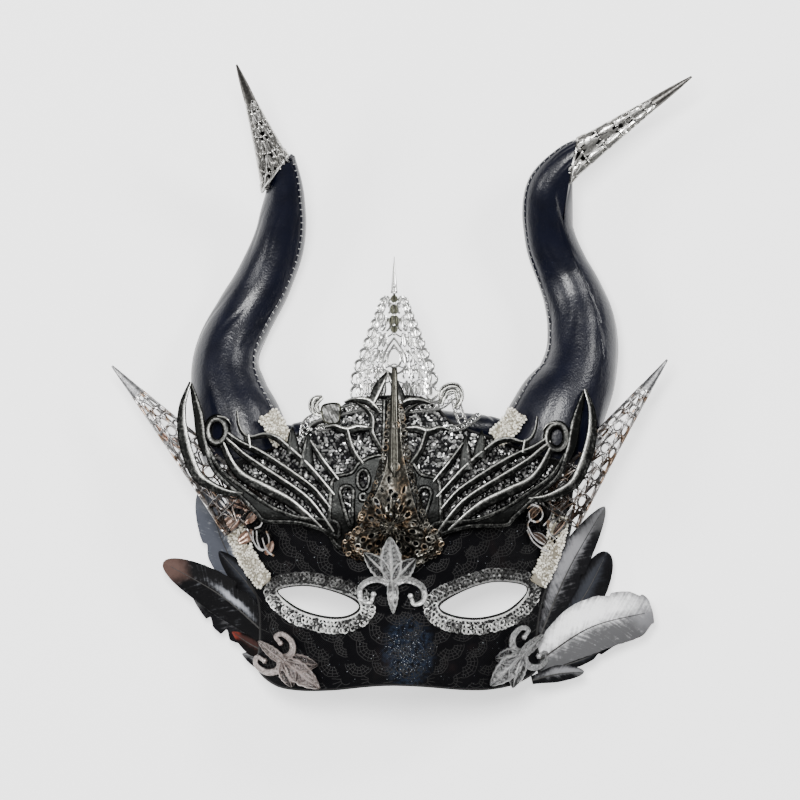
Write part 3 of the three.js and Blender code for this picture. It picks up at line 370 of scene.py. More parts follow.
class Socket:
    # A node's output that can be added, multiplied and so on, with numbers on either side
    def __init__(self, finish, output):
        self.finish = finish
        self.output = output

    def maths(self, operation, a, b=0.0):
        return self.finish.node("ShaderNodeMath", {"operation": operation}, {0: a, 1: b})

    def __add__(self, other):
        return self.maths("ADD", self, other)

    def __radd__(self, other):
        return self.maths("ADD", other, self)

    def __sub__(self, other):
        return self.maths("SUBTRACT", self, other)

    def __rsub__(self, other):
        return self.maths("SUBTRACT", other, self)

    def __mul__(self, other):
        return self.maths("MULTIPLY", self, other)

    def __rmul__(self, other):
        return self.maths("MULTIPLY", other, self)

    def __truediv__(self, other):
        return self.maths("DIVIDE", self, other)

    def __pow__(self, other):
        return self.maths("POWER", self, other)

    def sine(self):
        return self.maths("SINE", self)

    def size(self):
        return self.maths("ABSOLUTE", self)

    def between(self, low, high):  # 0 below low, 1 above high, smooth from one to the other
        inputs = {"Value": self, "From Min": low, "From Max": high, "To Min": 0.0, "To Max": 1.0}
        return self.finish.node("ShaderNodeMapRange", {"interpolation_type": "SMOOTHSTEP"}, inputs)


class Finish:
    # A material: its fixed values sit on the shader, and what varies is fed to it
    def __init__(self, name, fixed):
        self.material = bpy.data.materials.new(name)
        self.material.use_nodes = True
        self.tree = self.material.node_tree
        self.tree.nodes.clear()
        self.shader = self.tree.nodes.new("ShaderNodeBsdfPrincipled")
        out = self.tree.nodes.new("ShaderNodeOutputMaterial")
        self.tree.links.new(self.shader.outputs[0], out.inputs[0])
        for key, value in fixed.items():
            self.shader.inputs[key].default_value = value

    def give(self, socket, value):
        if isinstance(value, Socket):
            self.tree.links.new(value.output, socket)
        else:
            socket.default_value = value

    def node(self, kind, settings, inputs, output=0):
        made = self.tree.nodes.new(kind)
        for key, value in settings.items():
            setattr(made, key, value)
        for key, value in inputs.items():
            self.give(made.inputs[key], value)
        return Socket(self, made.outputs[output])

    def feed(self, name, value):
        self.give(self.shader.inputs[name], value)

    def stretched(self, vector, scale):  # a vector times another, part by part
        return self.node("ShaderNodeVectorMath", {"operation": "MULTIPLY"}, {0: vector, 1: scale})

    def spot(self, scale=1.0):  # the object's own place in millimetres, times a scale
        return self.stretched(self.node("ShaderNodeTexCoord", {}, {}, "Object"), (1000 * scale,) * 3)

    def axis(self, name):  # the object's own X, Y or Z in millimetres
        return self.node("ShaderNodeSeparateXYZ", {}, {0: self.spot()}, name)

    def tone(self):
        return self.node("ShaderNodeAttribute", {"attribute_name": "tone"}, {}, "Fac")

    def place(self, name):  # X runs along the piece and Y across it
        here = self.node("ShaderNodeAttribute", {"attribute_name": "place"}, {}, "Vector")
        return self.node("ShaderNodeSeparateXYZ", {}, {0: here}, name)

    def noise(self, size, detail=3.0, rough=0.5, stretch=(1, 1, 1)):  # clouds of lumps about size millimetres
        here = self.stretched(self.spot(1 / size), stretch)
        inputs = {"Vector": here, "Scale": 1.0, "Detail": detail, "Roughness": rough}
        return self.node("ShaderNodeTexNoise", {}, inputs)

    def cells(self, size, feature="F1", output="Distance"):
        inputs = {"Vector": self.spot(1 / size), "Scale": 1.0}
        return self.node("ShaderNodeTexVoronoi", {"feature": feature}, inputs, output)

    def blend(self, a, b, t):  # colour a at 0 and b at 1
        full = [c if isinstance(c, Socket) else (*c, 1.0) for c in (a, b)]
        return self.node("ShaderNodeMix", {"data_type": "RGBA"}, {0: t, 6: full[0], 7: full[1]}, 2)

    def bump(self, height, depth):  # depth is in millimetres for a height of 1
        inputs = {"Height": height, "Strength": 1.0, "Distance": depth * milli}
        self.feed("Normal", self.node("ShaderNodeBump", {}, inputs, "Normal"))


def metalFinish(name, dark, bright, rough=0.3, pits=0.12, glance=0.4, hint=None):
    # A dark colour where the tone is low and a bright one where it is high, moved by clouds of rubbing:
    # tarnish in the hollows, and painted highlight and painted shade where a piece's tone is painted light;
    # fine pits, and patches of a hint of another colour; glance is how much it shines edge on
    made = Finish(name, {"Metallic": 1.0, "Specular Tint": (glance, glance, glance, 1.0)})
    cloud = made.noise(5.0, 4.0)
    fine = made.noise(1.3, 3.0, 0.6)
    # The tone plus clouds of rubbing; on the crest and the side spikes the tone is painted highlight and
    # shade
    wearAndPaintedLight = (made.tone() + (cloud - 0.5) * 0.5 + (fine - 0.5) * 0.7).between(0.12, 0.95)
    base = made.blend(dark, bright, wearAndPaintedLight)
    if hint:
        base = made.blend(base, made.blend(dark, hint, wearAndPaintedLight), made.noise(6.0).between(0.5, 0.62))
    made.feed("Base Color", base)
    made.feed("Roughness", rough + 0.2 * made.noise(2.5, 3.0) - 0.06 * wearAndPaintedLight)
    made.bump(made.noise(0.9, 4.0, 0.6) + 0.5 * made.cells(1.3), pits)
    return made


# The curved ground that the pieces lie on
shellShape = {"centreX": 2.5, "halfWidth": 83.0, "depth": 62.0, "roundness": 2.6, "wall": 3.0,
              "browLine": 30.0, "crownLine": 95.0, "browFallback": 12.0, "noseRise": 13.0,
              "noseHalfWidth": 13.0, "noseTop": 2.0, "noseBottom": -40.0, "clearance": 0.35}
crestShape = {"centreX": -4.1, "pivotY": 70.0, "tilt": -0.018, "height": 70.0, "halfSpan": 97.0,
              "sideFall": 24.0, "topFall": 4.0, "footFall": 5.5, "footFrom": 20.0, "footTo": 44.0,
              "plate": 2.4}


def shellFront(x, y):
    # Depth less the brow's fall, times one less a power of the distance across, plus the nose's bell curve
    s = shellShape
    across = 1 - (np.abs(x - s["centreX"]) / s["halfWidth"]) ** s["roundness"]
    back = s["browFallback"] * np.maximum(0, (y - s["browLine"]) / (s["crownLine"] - s["browLine"])) ** 2
    bridge = np.exp(-(((x - s["centreX"]) / s["noseHalfWidth"]) ** 2))
    below = 1 - smoothStep(s["noseBottom"], s["noseTop"], y)
    return (s["depth"] - back) * across + s["noseRise"] * bridge * below


def crestGround(x, y):
    # Height less squares of the distance across and upwards, let down at the brow: the plate's underside
    c = crestShape
    side = c["sideFall"] * ((x - c["centreX"]) / c["halfSpan"]) ** 2
    top = c["topFall"] * np.maximum(0, (y - 40) / 65) ** 2
    foot = c["footFall"] * (1 - smoothStep(c["footFrom"], c["footTo"], y))
    return c["height"] - side - top - foot - c["plate"] / 2


def onShell(more):
    return lambda x, y: shellFront(x, y) + shellShape["clearance"] + more


shellOutline = smoothLoop([
    [0, -39.8], [-30, -42.5], [-47, -42.8], [-58, -40.5], [-66, -33], [-65, -20], [-66, 0], [-74, 13],
    [-80.2, 30], [-80.5, 48], [-80.4, 64], [-66, 70], [-51, 76.5], [-42, 82.8], [-31, 87.4], [-23, 94.4],
    [-12, 97.4], [0, 97.9], [12, 97.4], [20, 92.4], [27, 85.4], [36, 81.4], [49, 77], [68, 70], [85, 64],
    [85.4, 48], [84.4, 32], [76, 12], [71, 0], [68, -18], [69, -32], [60, -39], [48, -42], [33, -42.3],
], 1.2)
panelOutline = smoothLoop([
    [0, 33], [-20, 33], [-36, 37], [-58, 41], [-72, 46], [-77, 50], [-78.5, 60], [-66, 68], [-51, 75],
    [-42, 81.5], [-31, 86], [-23, 93], [-12, 96], [0, 96.5], [12, 96], [20, 91], [27, 84], [36, 80],
    [49, 75.5], [68, 67.5], [82, 60], [82, 50], [74, 46], [58, 42], [38, 37], [20, 33],
], 1.6)
eyePoints = {
    "left": [[-56.6, 4.3], [-46, 7.2], [-35, 6.2], [-22.5, 2.2], [-16.8, -2.4], [-20.5, -6.6],
             [-28.3, -8.2], [-38.9, -6.7], [-48.5, -2.9]],
    "right": [[21.1, -2.4], [32.2, 4.8], [46.6, 9.1], [60.5, 7.9], [63.8, 4.4], [59, -1.5], [51.4, -6.2],
              [39.4, -8.6], [27, -7]],
}

# Face shell: stiff, covered in black lace
lace = {"cell": 1.5, "thread": 0.2, "fan": 6.2, "fanStep": (12.4, 8.2), "fanRows": 10, "fanColumns": 14,
        "fanTop": 36, "specks": 420, "sparkles": 420, "speck": (0.07, 0.22),
        "noseMiddle": np.array([6.2, -24]), "noseSpread": [5.5, 6.5],
        "colour": (0.0012, 0.0012, 0.0018), "threadColour": (0.011, 0.0105, 0.0105),
        "shimmer": (0.008, 0.013, 0.024)}


def makeLace():
    cloth = Finish("blackLace", {"Specular IOR Level": 0.06})
    x, y = cloth.axis("X"), cloth.axis("Y")
    net = ((x + y) * 3.2).sine().size() * ((x - y) * 3.2).sine().size()
    away = ((x - 2.9) / 13) ** 2 + ((y + 131) / 17) ** 2
    nose = 1 - (away + 0.7 * (cloth.noise(7) - 0.5)).between(0.45, 1.25)
    glint = cloth.cells(0.75).between(0.2, 0.0) * cloth.noise(5).between(0.55, 0.75)
    ground = cloth.blend(lace["colour"], lace["shimmer"], nose * cloth.noise(1.6).between(0.35, 0.65))
    rusty = cloth.blend(ground, (0.008, 0.005, 0.005), cloth.noise(14).between(0.58, 0.75) * 0.5)
    cloth.feed("Base Color", cloth.blend(rusty, (0.3, 0.33, 0.36), glint * (0.08 + 0.5 * nose)))
    cloth.feed("Roughness", 0.72 - 0.34 * nose)
    cloth.bump(net + 0.6 * cloth.noise(1.1), 0.22)
    return cloth


def makeFelt():
    felt = Finish("blackFelt", {"Specular IOR Level": 0.04})
    felt.feed("Base Color", felt.blend((0.003, 0.003, 0.0035), (0.012, 0.012, 0.013), felt.noise(0.8, 5.0)))
    felt.feed("Roughness", 0.85 + 0.1 * felt.noise(3))
    felt.bump(felt.noise(0.5, 5.0, 0.7), 0.25)
    return felt


def makeThread(name, dark, light, shine=0.25):
    thread = Finish(name, {"Specular IOR Level": shine})
    thread.feed("Base Color", thread.blend(dark, light, thread.noise(1.5)))
    thread.feed("Roughness", 0.55 + 0.2 * thread.noise(0.8))
    thread.bump(thread.noise(0.35), 0.06)
    return thread


def makeGlitter(name, dark, light):
    glitter = Finish(name, {"Metallic": 0.9})
    glitter.feed("Base Color", glitter.blend(dark, light, glitter.tone()))
    glitter.feed("Roughness", 0.2 + 0.25 * glitter.tone())
    return glitter


def laceFan(centre, turn, size):
    # Scallop that hangs from its centre: four arcs whose radius swells eight times, and seven spokes
    spread = np.linspace(-1.35, 1.35, 14)
    arcs = [size * r * (1 + 0.06 * r * np.abs(np.sin(4 * spread))) for r in (0.34, 0.58, 0.8, 1.0)]
    lines = [r * np.stack([np.sin(spread), -np.cos(spread)]) for r in arcs]
    reach = np.linspace(0.34, 0.98, 14) * size
    lines += [reach * np.array([[math.sin(a)], [-math.cos(a)]]) for a in np.linspace(-1.2, 1.2, 7)]
    x, y = np.array(lines).transpose(1, 0, 2)
    return centre + turned(x, y, turn)


def buildShell():
    piece = Piece()
    eyes = [smoothLoop(points, 1.0) for points in eyePoints.values()]
    back = lambda x, y: np.maximum(shellFront(x, y) - shellShape["wall"], 0.0)
    front = lambda x, y: np.maximum(shellFront(x, y), 0.05)
    piece.addPlate(shellOutline, eyes, lace["cell"], front, back, 1.5, 0, (0.0, 1.0), behindFinish=1)
    across, down = lace["fanStep"]
    fans = []
    for row in range(lace["fanRows"]):
        for column in range(lace["fanColumns"]):
            centre = [across * (column - 6.5 + 0.5 * (row % 2)) + 1.3, lace["fanTop"] - down * row]
            turn = 0.9 * math.sin(centre[0] * 0.045) + 0.5 * math.sin(row * 2.3 + column * 1.7)
            size = lace["fan"] * (1 + 0.16 * math.sin(row * 1.9 + column * 2.6))
            fans.append(laceFan(centre, turn, size))
    every = np.concatenate(fans)
    inside = within(every.reshape(-1, 2), shellOutline, eyes).reshape(every.shape[:2]).all(1)
    piece.addWires(every[inside], lace["thread"], 2, sides=4, ground=lambda x, y: shellFront(x, y) + 0.08)
    rim = lambda x, y: np.maximum(shellFront(x, y) - 0.35, 0.61)
    for loop in [shellOutline] + eyes:
        piece.addWires(loop, 0.6, 2, closed=True, ground=rim)
    spots = dice.uniform([-80, -42], [84, 34], (4000, 2))
    spots = spots[within(spots, shellOutline, eyes)][: lace["specks"]]
    nose = lace["noseMiddle"] + dice.normal(0, 1, (lace["sparkles"], 2)) * lace["noseSpread"]
    spots = np.vstack([spots, nose[insideOf(nose, shellOutline)]])
    centres = onGround(spots, shellFront, 0.12)
    size = dice.uniform(*lace["speck"], len(spots))
    frames = framesOn(unit(dice.normal([0, 0, 3], 1, (len(spots), 3))), size * 40)
    sizes = np.column_stack([size, size, size * 0.6])
    piece.addStones(cutStone, centres, frames, sizes, 3, dice.beta(1.2, 3, len(spots)))
    thread = makeThread("laceThread", (0.004, 0.004, 0.004), lace["threadColour"])
    glitter = makeGlitter("laceSpecks", (0.05, 0.055, 0.065), (0.55, 0.58, 0.62))
    piece.build("laceShell", [makeLace(), makeFelt(), thread, glitter], "mask_shell")


buildShell()


def slopeOf(ground, x, y):  # the ground's outward direction: minus its rises in x and y, and 1
    dx = ground(x + 0.25, y) - ground(x - 0.25, y)
    dy = ground(x, y + 0.25) - ground(x, y - 0.25)
    return unit(np.stack([-2 * dx, -2 * dy, np.ones_like(dx)], -1))


def strewn(piece, kinds, spots, ground, sizes, sink, finish, spread, tones=None):
    # Small stones on a ground: each of a random kind, turned at random and tilted a little
    up = unit(slopeOf(ground, *spots.T) + dice.normal(0, spread, (len(spots), 3)))
    kind = dice.integers(0, len(kinds), len(spots))
    turns = dice.uniform(0, 2 * math.pi, len(spots))
    tones = dice.beta(1.1, 1.3, len(spots)) if tones is None else tones
    centres = onGround(spots, ground, sink)
    for number, (stone, shape) in enumerate(kinds):
        mine = kind == number
        size = sizes[mine, None] * np.array(shape)
        piece.addStones(stone, centres[mine], framesOn(up[mine], turns[mine]), size, finish, tones[mine])


def scattered(outline, spacing, jitter=0.28):  # a staggered field, each place shifted a little
    spots = staggered(outline, spacing)
    spots += dice.uniform(-jitter, jitter, spots.shape) * spacing
    return spots[insideOf(spots, outline)]


ringSteps = 12


def ringsAlong(line, step, size, stretch=1.0, slant=0.0, vary=0.0, closed=False):
    # Rings in plan at even steps on a line: circles stretched across the line and turned by a slant
    count = max(2, int(lengthOf(line) / step))
    spots = evenly(line, count, closed)
    ahead = np.roll(spots, -1, 0) - np.roll(spots, 1, 0) if closed else np.gradient(spots, axis=0)
    turn = (np.arctan2(ahead[:, 1], ahead[:, 0]) + slant * np.where(np.arange(count) % 2, 1, -1))[:, None]
    angle = roundTurns(ringSteps)
    radius = (size * (1 + vary * dice.uniform(-1, 1, count)))[:, None]
    x, y = radius * np.cos(angle), radius * stretch * np.sin(angle)
    return spots[:, None] + turned(x, y, turn)


# Brow panel: silver chips, beads and sequins sewn close together on black cloth
panelShape = {"cloth": 0.9, "cell": 2.2, "spacing": 1.72, "size": (0.78, 1.25), "sink": -0.05, "lean": 0.4}
panelKinds = [(cutStone, (1, 1, 1)), (cutStone, (1.05, 1.05, 0.6)), (ball, (0.75, 0.75, 0.75)),
              (rod, (1.2, 0.5, 0.5)), (cutStone, (1.2, 0.8, 1.1))]


def buildPanel():
    piece = Piece()
    ground = onShell(0)
    top = onShell(panelShape["cloth"])
    piece.addPlate(panelOutline, [], panelShape["cell"], top, ground)
    spots = scattered(panelOutline, panelShape["spacing"])
    sizes = dice.uniform(*panelShape["size"], len(spots))
    strewn(piece, panelKinds, spots, top, sizes, panelShape["sink"], 1, panelShape["lean"])
    chips = Finish("silverChips", {"Metallic": 0.92})
    chips.feed("Base Color", chips.blend((0.02, 0.02, 0.022), (0.95, 0.95, 0.93), chips.tone() ** 1.35))
    chips.feed("Roughness", 0.2 + 0.3 * chips.noise(2.0))
    piece.build("chipPanel", [makeFelt(), chips], "brow_panel", 25)


buildPanel()

# Crest: one casting of pewter bands with a bead along the upper edge of each
crestRibs = {
    "crescent": ([1.2, 5.2, 2.2],
                 [[94.7, 103], [98, 93], [98.6, 84.5], [97.4, 76], [95, 67.5], [90.4, 58], [83, 53],
                  [76, 50.4], [68.5, 49.6]], False),
    "crescentInner": ([1.2, 4.4, 3.4], [[94.5, 102.5], [92.5, 95], [90.5, 87], [88.8, 76], [86, 68]],
                      False),
    "bladeWide": ([2.4, 5, 2.4],
                  [[78.4, 76], [72, 64.5], [67.5, 60], [60, 56.4], [52, 52.5], [45.5, 49], [38.9, 43.7],
                   [30, 35]], True),
    "bladeMiddle": ([2.4, 3.4, 2.6],
                    [[78, 78], [73, 74.2], [68, 70], [60, 64.8], [52, 59.8], [44, 54.8], [36, 48.7],
                     [29.8, 41.3], [24, 33]], True),
    "bladeInner": ([2.6, 3.2, 3],
                   [[76.6, 80], [69.8, 75.6], [61.9, 72.2], [53.5, 67.5], [44.9, 62], [33.5, 53.7],
                    [26.2, 45]], True),
    "curl": ([0.8, 3, 2.8],
             [[72, 89.4], [70.9, 82.4], [68.6, 78.5], [65.2, 76.8], [58.5, 78.1], [53.3, 77], [48.2, 73.2],
              [37.5, 63.7], [25, 49.8]], False),
    "curlTie": ([3, 3, 3], [[67, 78], [66, 72]], False),
    "ringFlick": ([2.2, 2, 0.8], [[81.4, 86], [77.4, 85.4], [74.8, 82.6]], False),
    "spikeOuter": ([6.2, 4.4, 0.8], [[44.4, 69.5], [45.4, 82.3]], False),
    "spikeInner": ([6.8, 4.6, 0.8], [[38.2, 63.5], [37.4, 80.3]], False),
    "bracket": ([1.8, 2.8, 2.8], [[37, 76], [30.7, 66.6], [23.3, 57.2]], False),
    "cusps": ([0.8, 3.8, 2], [[30, 82.6], [25.2, 84], [19, 82.8], [14.5, 84.1], [6, 83]], True),
    "stem": ([2.4, 2.8, 2.6], [[19.6, 82], [16.4, 72], [11.6, 65]], False),
    "upperArc": ([0.8, 3.4, 2.4], [[20.8, 94.9], [16.6, 96.8], [8.9, 96.8], [3, 91]], True),
    "innerArc": ([1, 2.6, 2.4], [[15.1, 94.6], [10, 91.3], [7.2, 86.9], [7.2, 80.4], [2, 71.6]], False),
    "finial": ([0.8, 4, 3.4], [[-0.3, 110], [3.6, 103.4], [7.4, 95]], False),
    "middle": ([4, 4, 4], [[-0.2, 96], [-0.2, 60]], False),
}
crestRing = {"width": 4.0, "centre": [81.4, 79.8], "radii": [4.6, 6.0], "steps": 72}
# Cords round the crest plates: radius, sides, lift, and the lowest and highest tone of the painted highlight
# on their tops
plateCord = {"radius": 1.2, "sides": 10, "lift": 1.4, "tones": (0.04, 0.22)}
# Ribs whose painted highlight is weaker than the rest's
weakerHighlights = {"crescentInner": 0.45, "spikeOuter": 0.3, "spikeInner": 0.3, "bladeInner": 0.8, "middle": 0.4}
crestPlates = {
    "lowerBlade": ([[86.2, 72.4], [82, 65], [77.5, 59.6], [69.8, 54], [57.4, 45.6], [44.4, 39.8],
                    [34, 38.4], [23.4, 37], [22.4, 30.3], [30, 33.6], [42, 36.6], [57.4, 37.2],
                    [61.7, 41.1], [70.3, 49.6], [82.3, 61]], []),
    "centre": ([[24.8, 58.4], [16.6, 61], [11.8, 66.6], [1, 69], [1, 54], [7.6, 50.6], [8.6, 44.4],
                [9.8, 38.2], [13.2, 33.4], [17.4, 31.5], [20.4, 25.4], [22.8, 26], [26.2, 31.5],
                [26.6, 42.8], [26.2, 51.4]],
               [[[15.4, 51.4], [16.6, 54], [18.7, 54.8], [20.8, 54], [21.8, 51.4], [20.6, 46.5], [18.2, 39],
                 [16.6, 35.4], [15.6, 36.4], [15.6, 46]],
                [[7.9, 57.7], [9, 61.4], [10.8, 62.6], [12.7, 61.4], [13.7, 57.7], [12.7, 54.1], [10.8, 53],
                 [9, 54.1]], [[9.6, 48.2], [11.9, 48.2], [11.9, 50.8], [9.6, 50.8]]]),
}
# A band's section from its upper edge (0) to its lower edge (1): each corner's rise and shine; the shine is a
# painted highlight, brightest near the upper edge
bandSection = {
    "across": [-0.08, -0.08, 0.0, 0.1, 0.22, 0.34, 0.46, 0.62, 0.8, 0.95, 1.04, 1.04],
    "rise": [0, 1.5, 2.2, 2.55, 2.65, 2.5, 2.25, 2.1, 1.95, 1.6, 0.9, 0],
    "shine": [0, 0.15, 0.45, 0.75, 0.75, 0.45, 0.22, 0.14, 0.2, 0.14, 0, 0],
}


def onCrest(side, points):  # half a crest's places, mirrored by side, turned by its tilt about its pivot
    u, v = np.asarray(points, float).T
    x, y = side * u, v - crestShape["pivotY"]
    c, s = math.cos(crestShape["tilt"]), math.sin(crestShape["tilt"])
    return np.stack([crestShape["centreX"] + x * c - y * s, crestShape["pivotY"] + x * s + y * c], 1)


def addBand(piece, path, widths, side, under, rise, shine):
    # Width runs from the first to the last, with a sine's bulge to the middle one
    first, middle, last = widths
    t = np.linspace(0, 1, len(path))
    half = (mixed(first, last, t) + (middle - (first + last) / 2) * np.sin(math.pi * t)) / 2
    e = np.array(bandSection["across"])
    across = -half[:, None] * (side * (2 * e - 1) + (side if under else 0))
    height = np.array(bandSection["rise"])
    lift = height * np.clip(half / 0.9, 0.35, 1)[:, None] + np.where(height > 0, rise, 0)
    # The tone is the section's painted highlight, times the rib's share
    tone = shine * np.broadcast_to(bandSection["shine"], across.shape)
    piece.addSwept(path, across, lift, 0, tone, ground=crestGround)


def addRing(piece, side):  # a round-backed ring with a painted highlight a little outside its middle
    angle = roundTurns(crestRing["steps"])
    loop = np.array(crestRing["centre"]) + np.stack([np.cos(angle), np.sin(angle)], 1) * crestRing["radii"]
    e = np.linspace(-1, 1, 11)
    rise = np.concatenate([[0], 1.0 + 1.9 * np.sqrt(1 - np.linspace(-0.96, 0.96, 9) ** 2), [0]])
    # Painted highlight across the ring, brightest a little outside its middle
    tone = np.tile(np.clip(0.5 - 0.6 * np.abs(e - 0.3), 0.1, 1), len(loop))
    across = crestRing["width"] / 2 * e
    piece.addSwept(onCrest(side, loop), across, rise, 0, tone, closed=True, ground=crestGround)


def addCrestPlate(piece, side, outline, holes):  # an uneven plate with a cord along each of its edges, each cord with a painted highlight along its top
    cord = plateCord
    edge = smoothLoop(onCrest(side, outline), 0.9)
    cuts = [smoothLoop(onCrest(side, hole), 0.6) for hole in holes]
    top = lambda x, y: crestGround(x, y) + 1.35 + 0.12 * ripple(x * 0.8, y * 0.8)
    piece.addPlate(edge, cuts, 0.9, top, crestGround, tones=(0.04, 0.0))
    sides = cord["sides"]
    # Painted highlight on the upper side of each cord
    shine = np.clip(np.sin(roundTurns(sides, 0.5)) - 0.3, *cord["tones"])
    middle = lambda x, y: crestGround(x, y) + cord["lift"]
    for loop in [edge] + cuts:
        tone = np.tile(shine, len(loop))
        piece.addWires(loop, cord["radius"], 0, tone, closed=True, sides=sides, ground=middle)


def buildCrest():
    piece = Piece()
    for side in (-1, 1):
        for number, (name, (widths, stops, under)) in enumerate(crestRibs.items()):
            path = smoothLine(onCrest(side, stops), 0.9)
            addBand(piece, path, widths, side, under, 0.03 * number + 0.01 * side, weakerHighlights.get(name, 1.0))
        addRing(piece, side)
        for outline, holes in crestPlates.values():
            addCrestPlate(piece, side, outline, holes)
    # Dark pewter, brightened by the painted highlights in the tone
    pewter = metalFinish("pewter", (0.013, 0.0135, 0.013), (0.54, 0.54, 0.51), 0.3, 0.16, glance=0.2)
    piece.build("pewterCrest", [pewter], "wing_crest", 40)


buildCrest()

# Horns: navy faux leather over a soft filling
hornStops = {
    "left": [[-70.2, 67.5, 26, 21.6, 18.2], [-73, 78, 26, 22.2, 18.5], [-75.5, 86, 25, 21.5, 18.5],
             [-79.6, 98, 22, 19, 17.6], [-81.8, 110, 19, 17.2, 16.6], [-80.2, 121, 16.6, 16, 15.8],
             [-72.6, 137, 14.4, 14.8, 15], [-64.1, 152, 14.6, 14.2, 14.6], [-57, 168, 18.4, 13.3, 13.3],
             [-54, 184, 25.4, 11.8, 11.8], [-53, 199, 34, 8.8, 8.8], [-54, 212, 41, 6.4, 6.4]],
    "right": [[70.4, 67.5, 26, 23, 18], [75, 79, 26, 24.6, 18.6], [80, 92, 25, 22.5, 19],
              [86.9, 105.6, 22, 19.5, 18.4], [90.3, 119.5, 18.6, 18, 17.6], [89.6, 133.4, 16.2, 16.8, 16.6],
              [86, 146, 14.6, 15, 15], [80.6, 159, 15.2, 13.5, 13.5], [75.4, 172, 19.4, 12.8, 12.8],
              [72.6, 186, 26.4, 11.9, 11.9], [73.8, 199, 33, 10.6, 10.6], [82, 210, 38, 8.2, 8.2],
              [91, 216, 40, 6.8, 6.8]],
}
tipPlanes = {"left": ([-56.4, 205.5, 38], [-15.3, 11, 0]), "right": ([85.2, 211, 38], [19.7, -3.4, 0])}
hornShape = {"around": 92, "along": 180, "fine": 520, "lump": 1.0, "wrinkle": 0.3, "footRound": 2.2,
             "seams": {"left": 0.62, "right": 2.75}, "welt": 0.55, "stitch": 3.3}


def crownEdge(x):  # how far up the shell reaches at each x, and far below beside it
    high = shellOutline[shellOutline[:, 1] > 63]
    high = high[np.argsort(high[:, 0])]
    return np.interp(x, high[:, 0], high[:, 1], left=-500, right=-500)


def lofted(stops, t, angles):
    # Ovals along a line in space: width times cosine to the side and depth times sine to the front
    stops = np.array(stops, float)
    centre = curveThrough(stops[:, :3], t)
    size = curveThrough(np.column_stack([stops[:, 3:5], np.zeros(len(stops))]), t)
    along = unit(np.gradient(centre, axis=0))
    side = unit(np.cross(along, [0, 0, 1]))
    front = np.cross(side, along)
    wide = size[:, 0, None, None] * np.cos(angles)[None, :, None] * side[:, None]
    deep = size[:, 1, None, None] * np.sin(angles)[None, :, None] * front[:, None]
    return centre, wide + deep


def pastTip(side, places):  # how far places lie beyond the slanting plane where a horn's tip begins
    point, normal = np.array(tipPlanes[side], float)
    return (places - point) @ unit(normal)


def hornGrid(side):
    h = hornShape
    t = np.linspace(0, 1, h["fine"]) ** 1.08
    angles = roundTurns(h["around"])
    centre, spread = lofted(hornStops[side], t, angles)
    run = np.concatenate([[0], np.cumsum(np.linalg.norm(np.diff(centre, axis=0), axis=1))])
    # In from the oval by slow lumps, lengthwise wrinkles and a round foot
    a, r = angles[None, :], run[:, None]
    lumps = h["lump"] * (0.5 + 0.5 * ripple(2 * np.cos(a) + r * 0.11, 2 * np.sin(a) - r * 0.07, r * 0.05))
    ridge = np.maximum(0, np.sin(7 * a + 1.3 * np.sin(r * 0.09) + 0.02 * r)) ** 6
    folds = h["wrinkle"] * ridge * (0.5 + 0.5 * np.sin(r * 0.12))
    size = np.linalg.norm(spread, axis=2)
    foot = np.sqrt(np.clip(1 - np.clip(1 - r / h["footRound"], 0, 1) ** 2, 1e-4, 1))
    scale = foot * (1 - (lumps + folds) / size)
    points = centre[:, None] + spread * scale[..., None]
    points[..., 1] = np.maximum(points[..., 1], crownEdge(points[..., 0]) + 0.35)
    beyond = pastTip(side, points) * (points[..., 1] > 180)
    past = np.maximum(1, np.argmax(beyond > 0, axis=0))
    columns = np.arange(h["around"])
    low, high = beyond[past - 1, columns], beyond[past, columns]
    crossing = past - 1 + low / np.where(high > 0, low - high, -1)
    last = np.where((beyond > 0).any(0), crossing, h["fine"] - 1)
    at = (np.linspace(0, 1, h["along"]) ** 1.05)[:, None] * last[None]
    i = np.minimum(at.astype(int), h["fine"] - 2)
    w = (at - i)[..., None]
    points = points[i, columns] * (1 - w) + points[i + 1, columns] * w
    points[..., 2] = np.maximum(points[..., 2], 0.0)
    return points


def makeLeather():
    leather = Finish("navyLeather", {"Specular IOR Level": 0.36})
    cloud = leather.noise(9, 4)
    grain = leather.cells(0.85, "SMOOTH_F1")
    leather.feed("Base Color", leather.blend((0.0006, 0.0009, 0.0034), (0.0017, 0.0027, 0.0105), cloud))
    leather.feed("Roughness", 0.27 + 0.08 * cloud)
    leather.bump(grain * 0.5 + leather.noise(2.2, 5, 0.65), 0.14)
    return leather


def buildHorn(side, leather, thread):
    piece = Piece()
    grid = hornGrid(side)
    piece.add(*capped(grid))
    # Welt along the seam, with a stitch across it every few millimetres
    column = int(hornShape["seams"][side] / (2 * math.pi) * hornShape["around"])
    line = grid[12:-2, column]
    out = unit(line - grid[12:-2].mean(1))
    piece.addWires(line, hornShape["welt"], up=out, sides=8)
    count = int(lengthOf(line) / hornShape["stitch"])
    spots = evenly(line + out * 0.3, count)
    outward = unit(evenly(out, count))
    ahead = unit(np.gradient(spots, axis=0))
    across = np.cross(outward, ahead)
    frames = np.stack([unit(across + 0.35 * ahead), unit(ahead - 0.35 * across), outward], -1)
    piece.addStones(rod, spots, frames, [[0.95, 0.26, 0.3]], 1, 1.0)
    piece.build("leatherHorn" + side.title(), [leather, thread], "horn_" + side, 60)


bandStops = [[-52, 79, 30, 5, 6], [-40, 80.5, 32, 6, 7], [-22, 83, 36, 6, 7], [0, 88.5, 38, 6, 7],
             [24, 85, 37, 6, 7], [42, 82.5, 34, 6.5, 7], [54, 81, 31, 5, 6]]
bandGrid = {"along": 150, "around": 40}


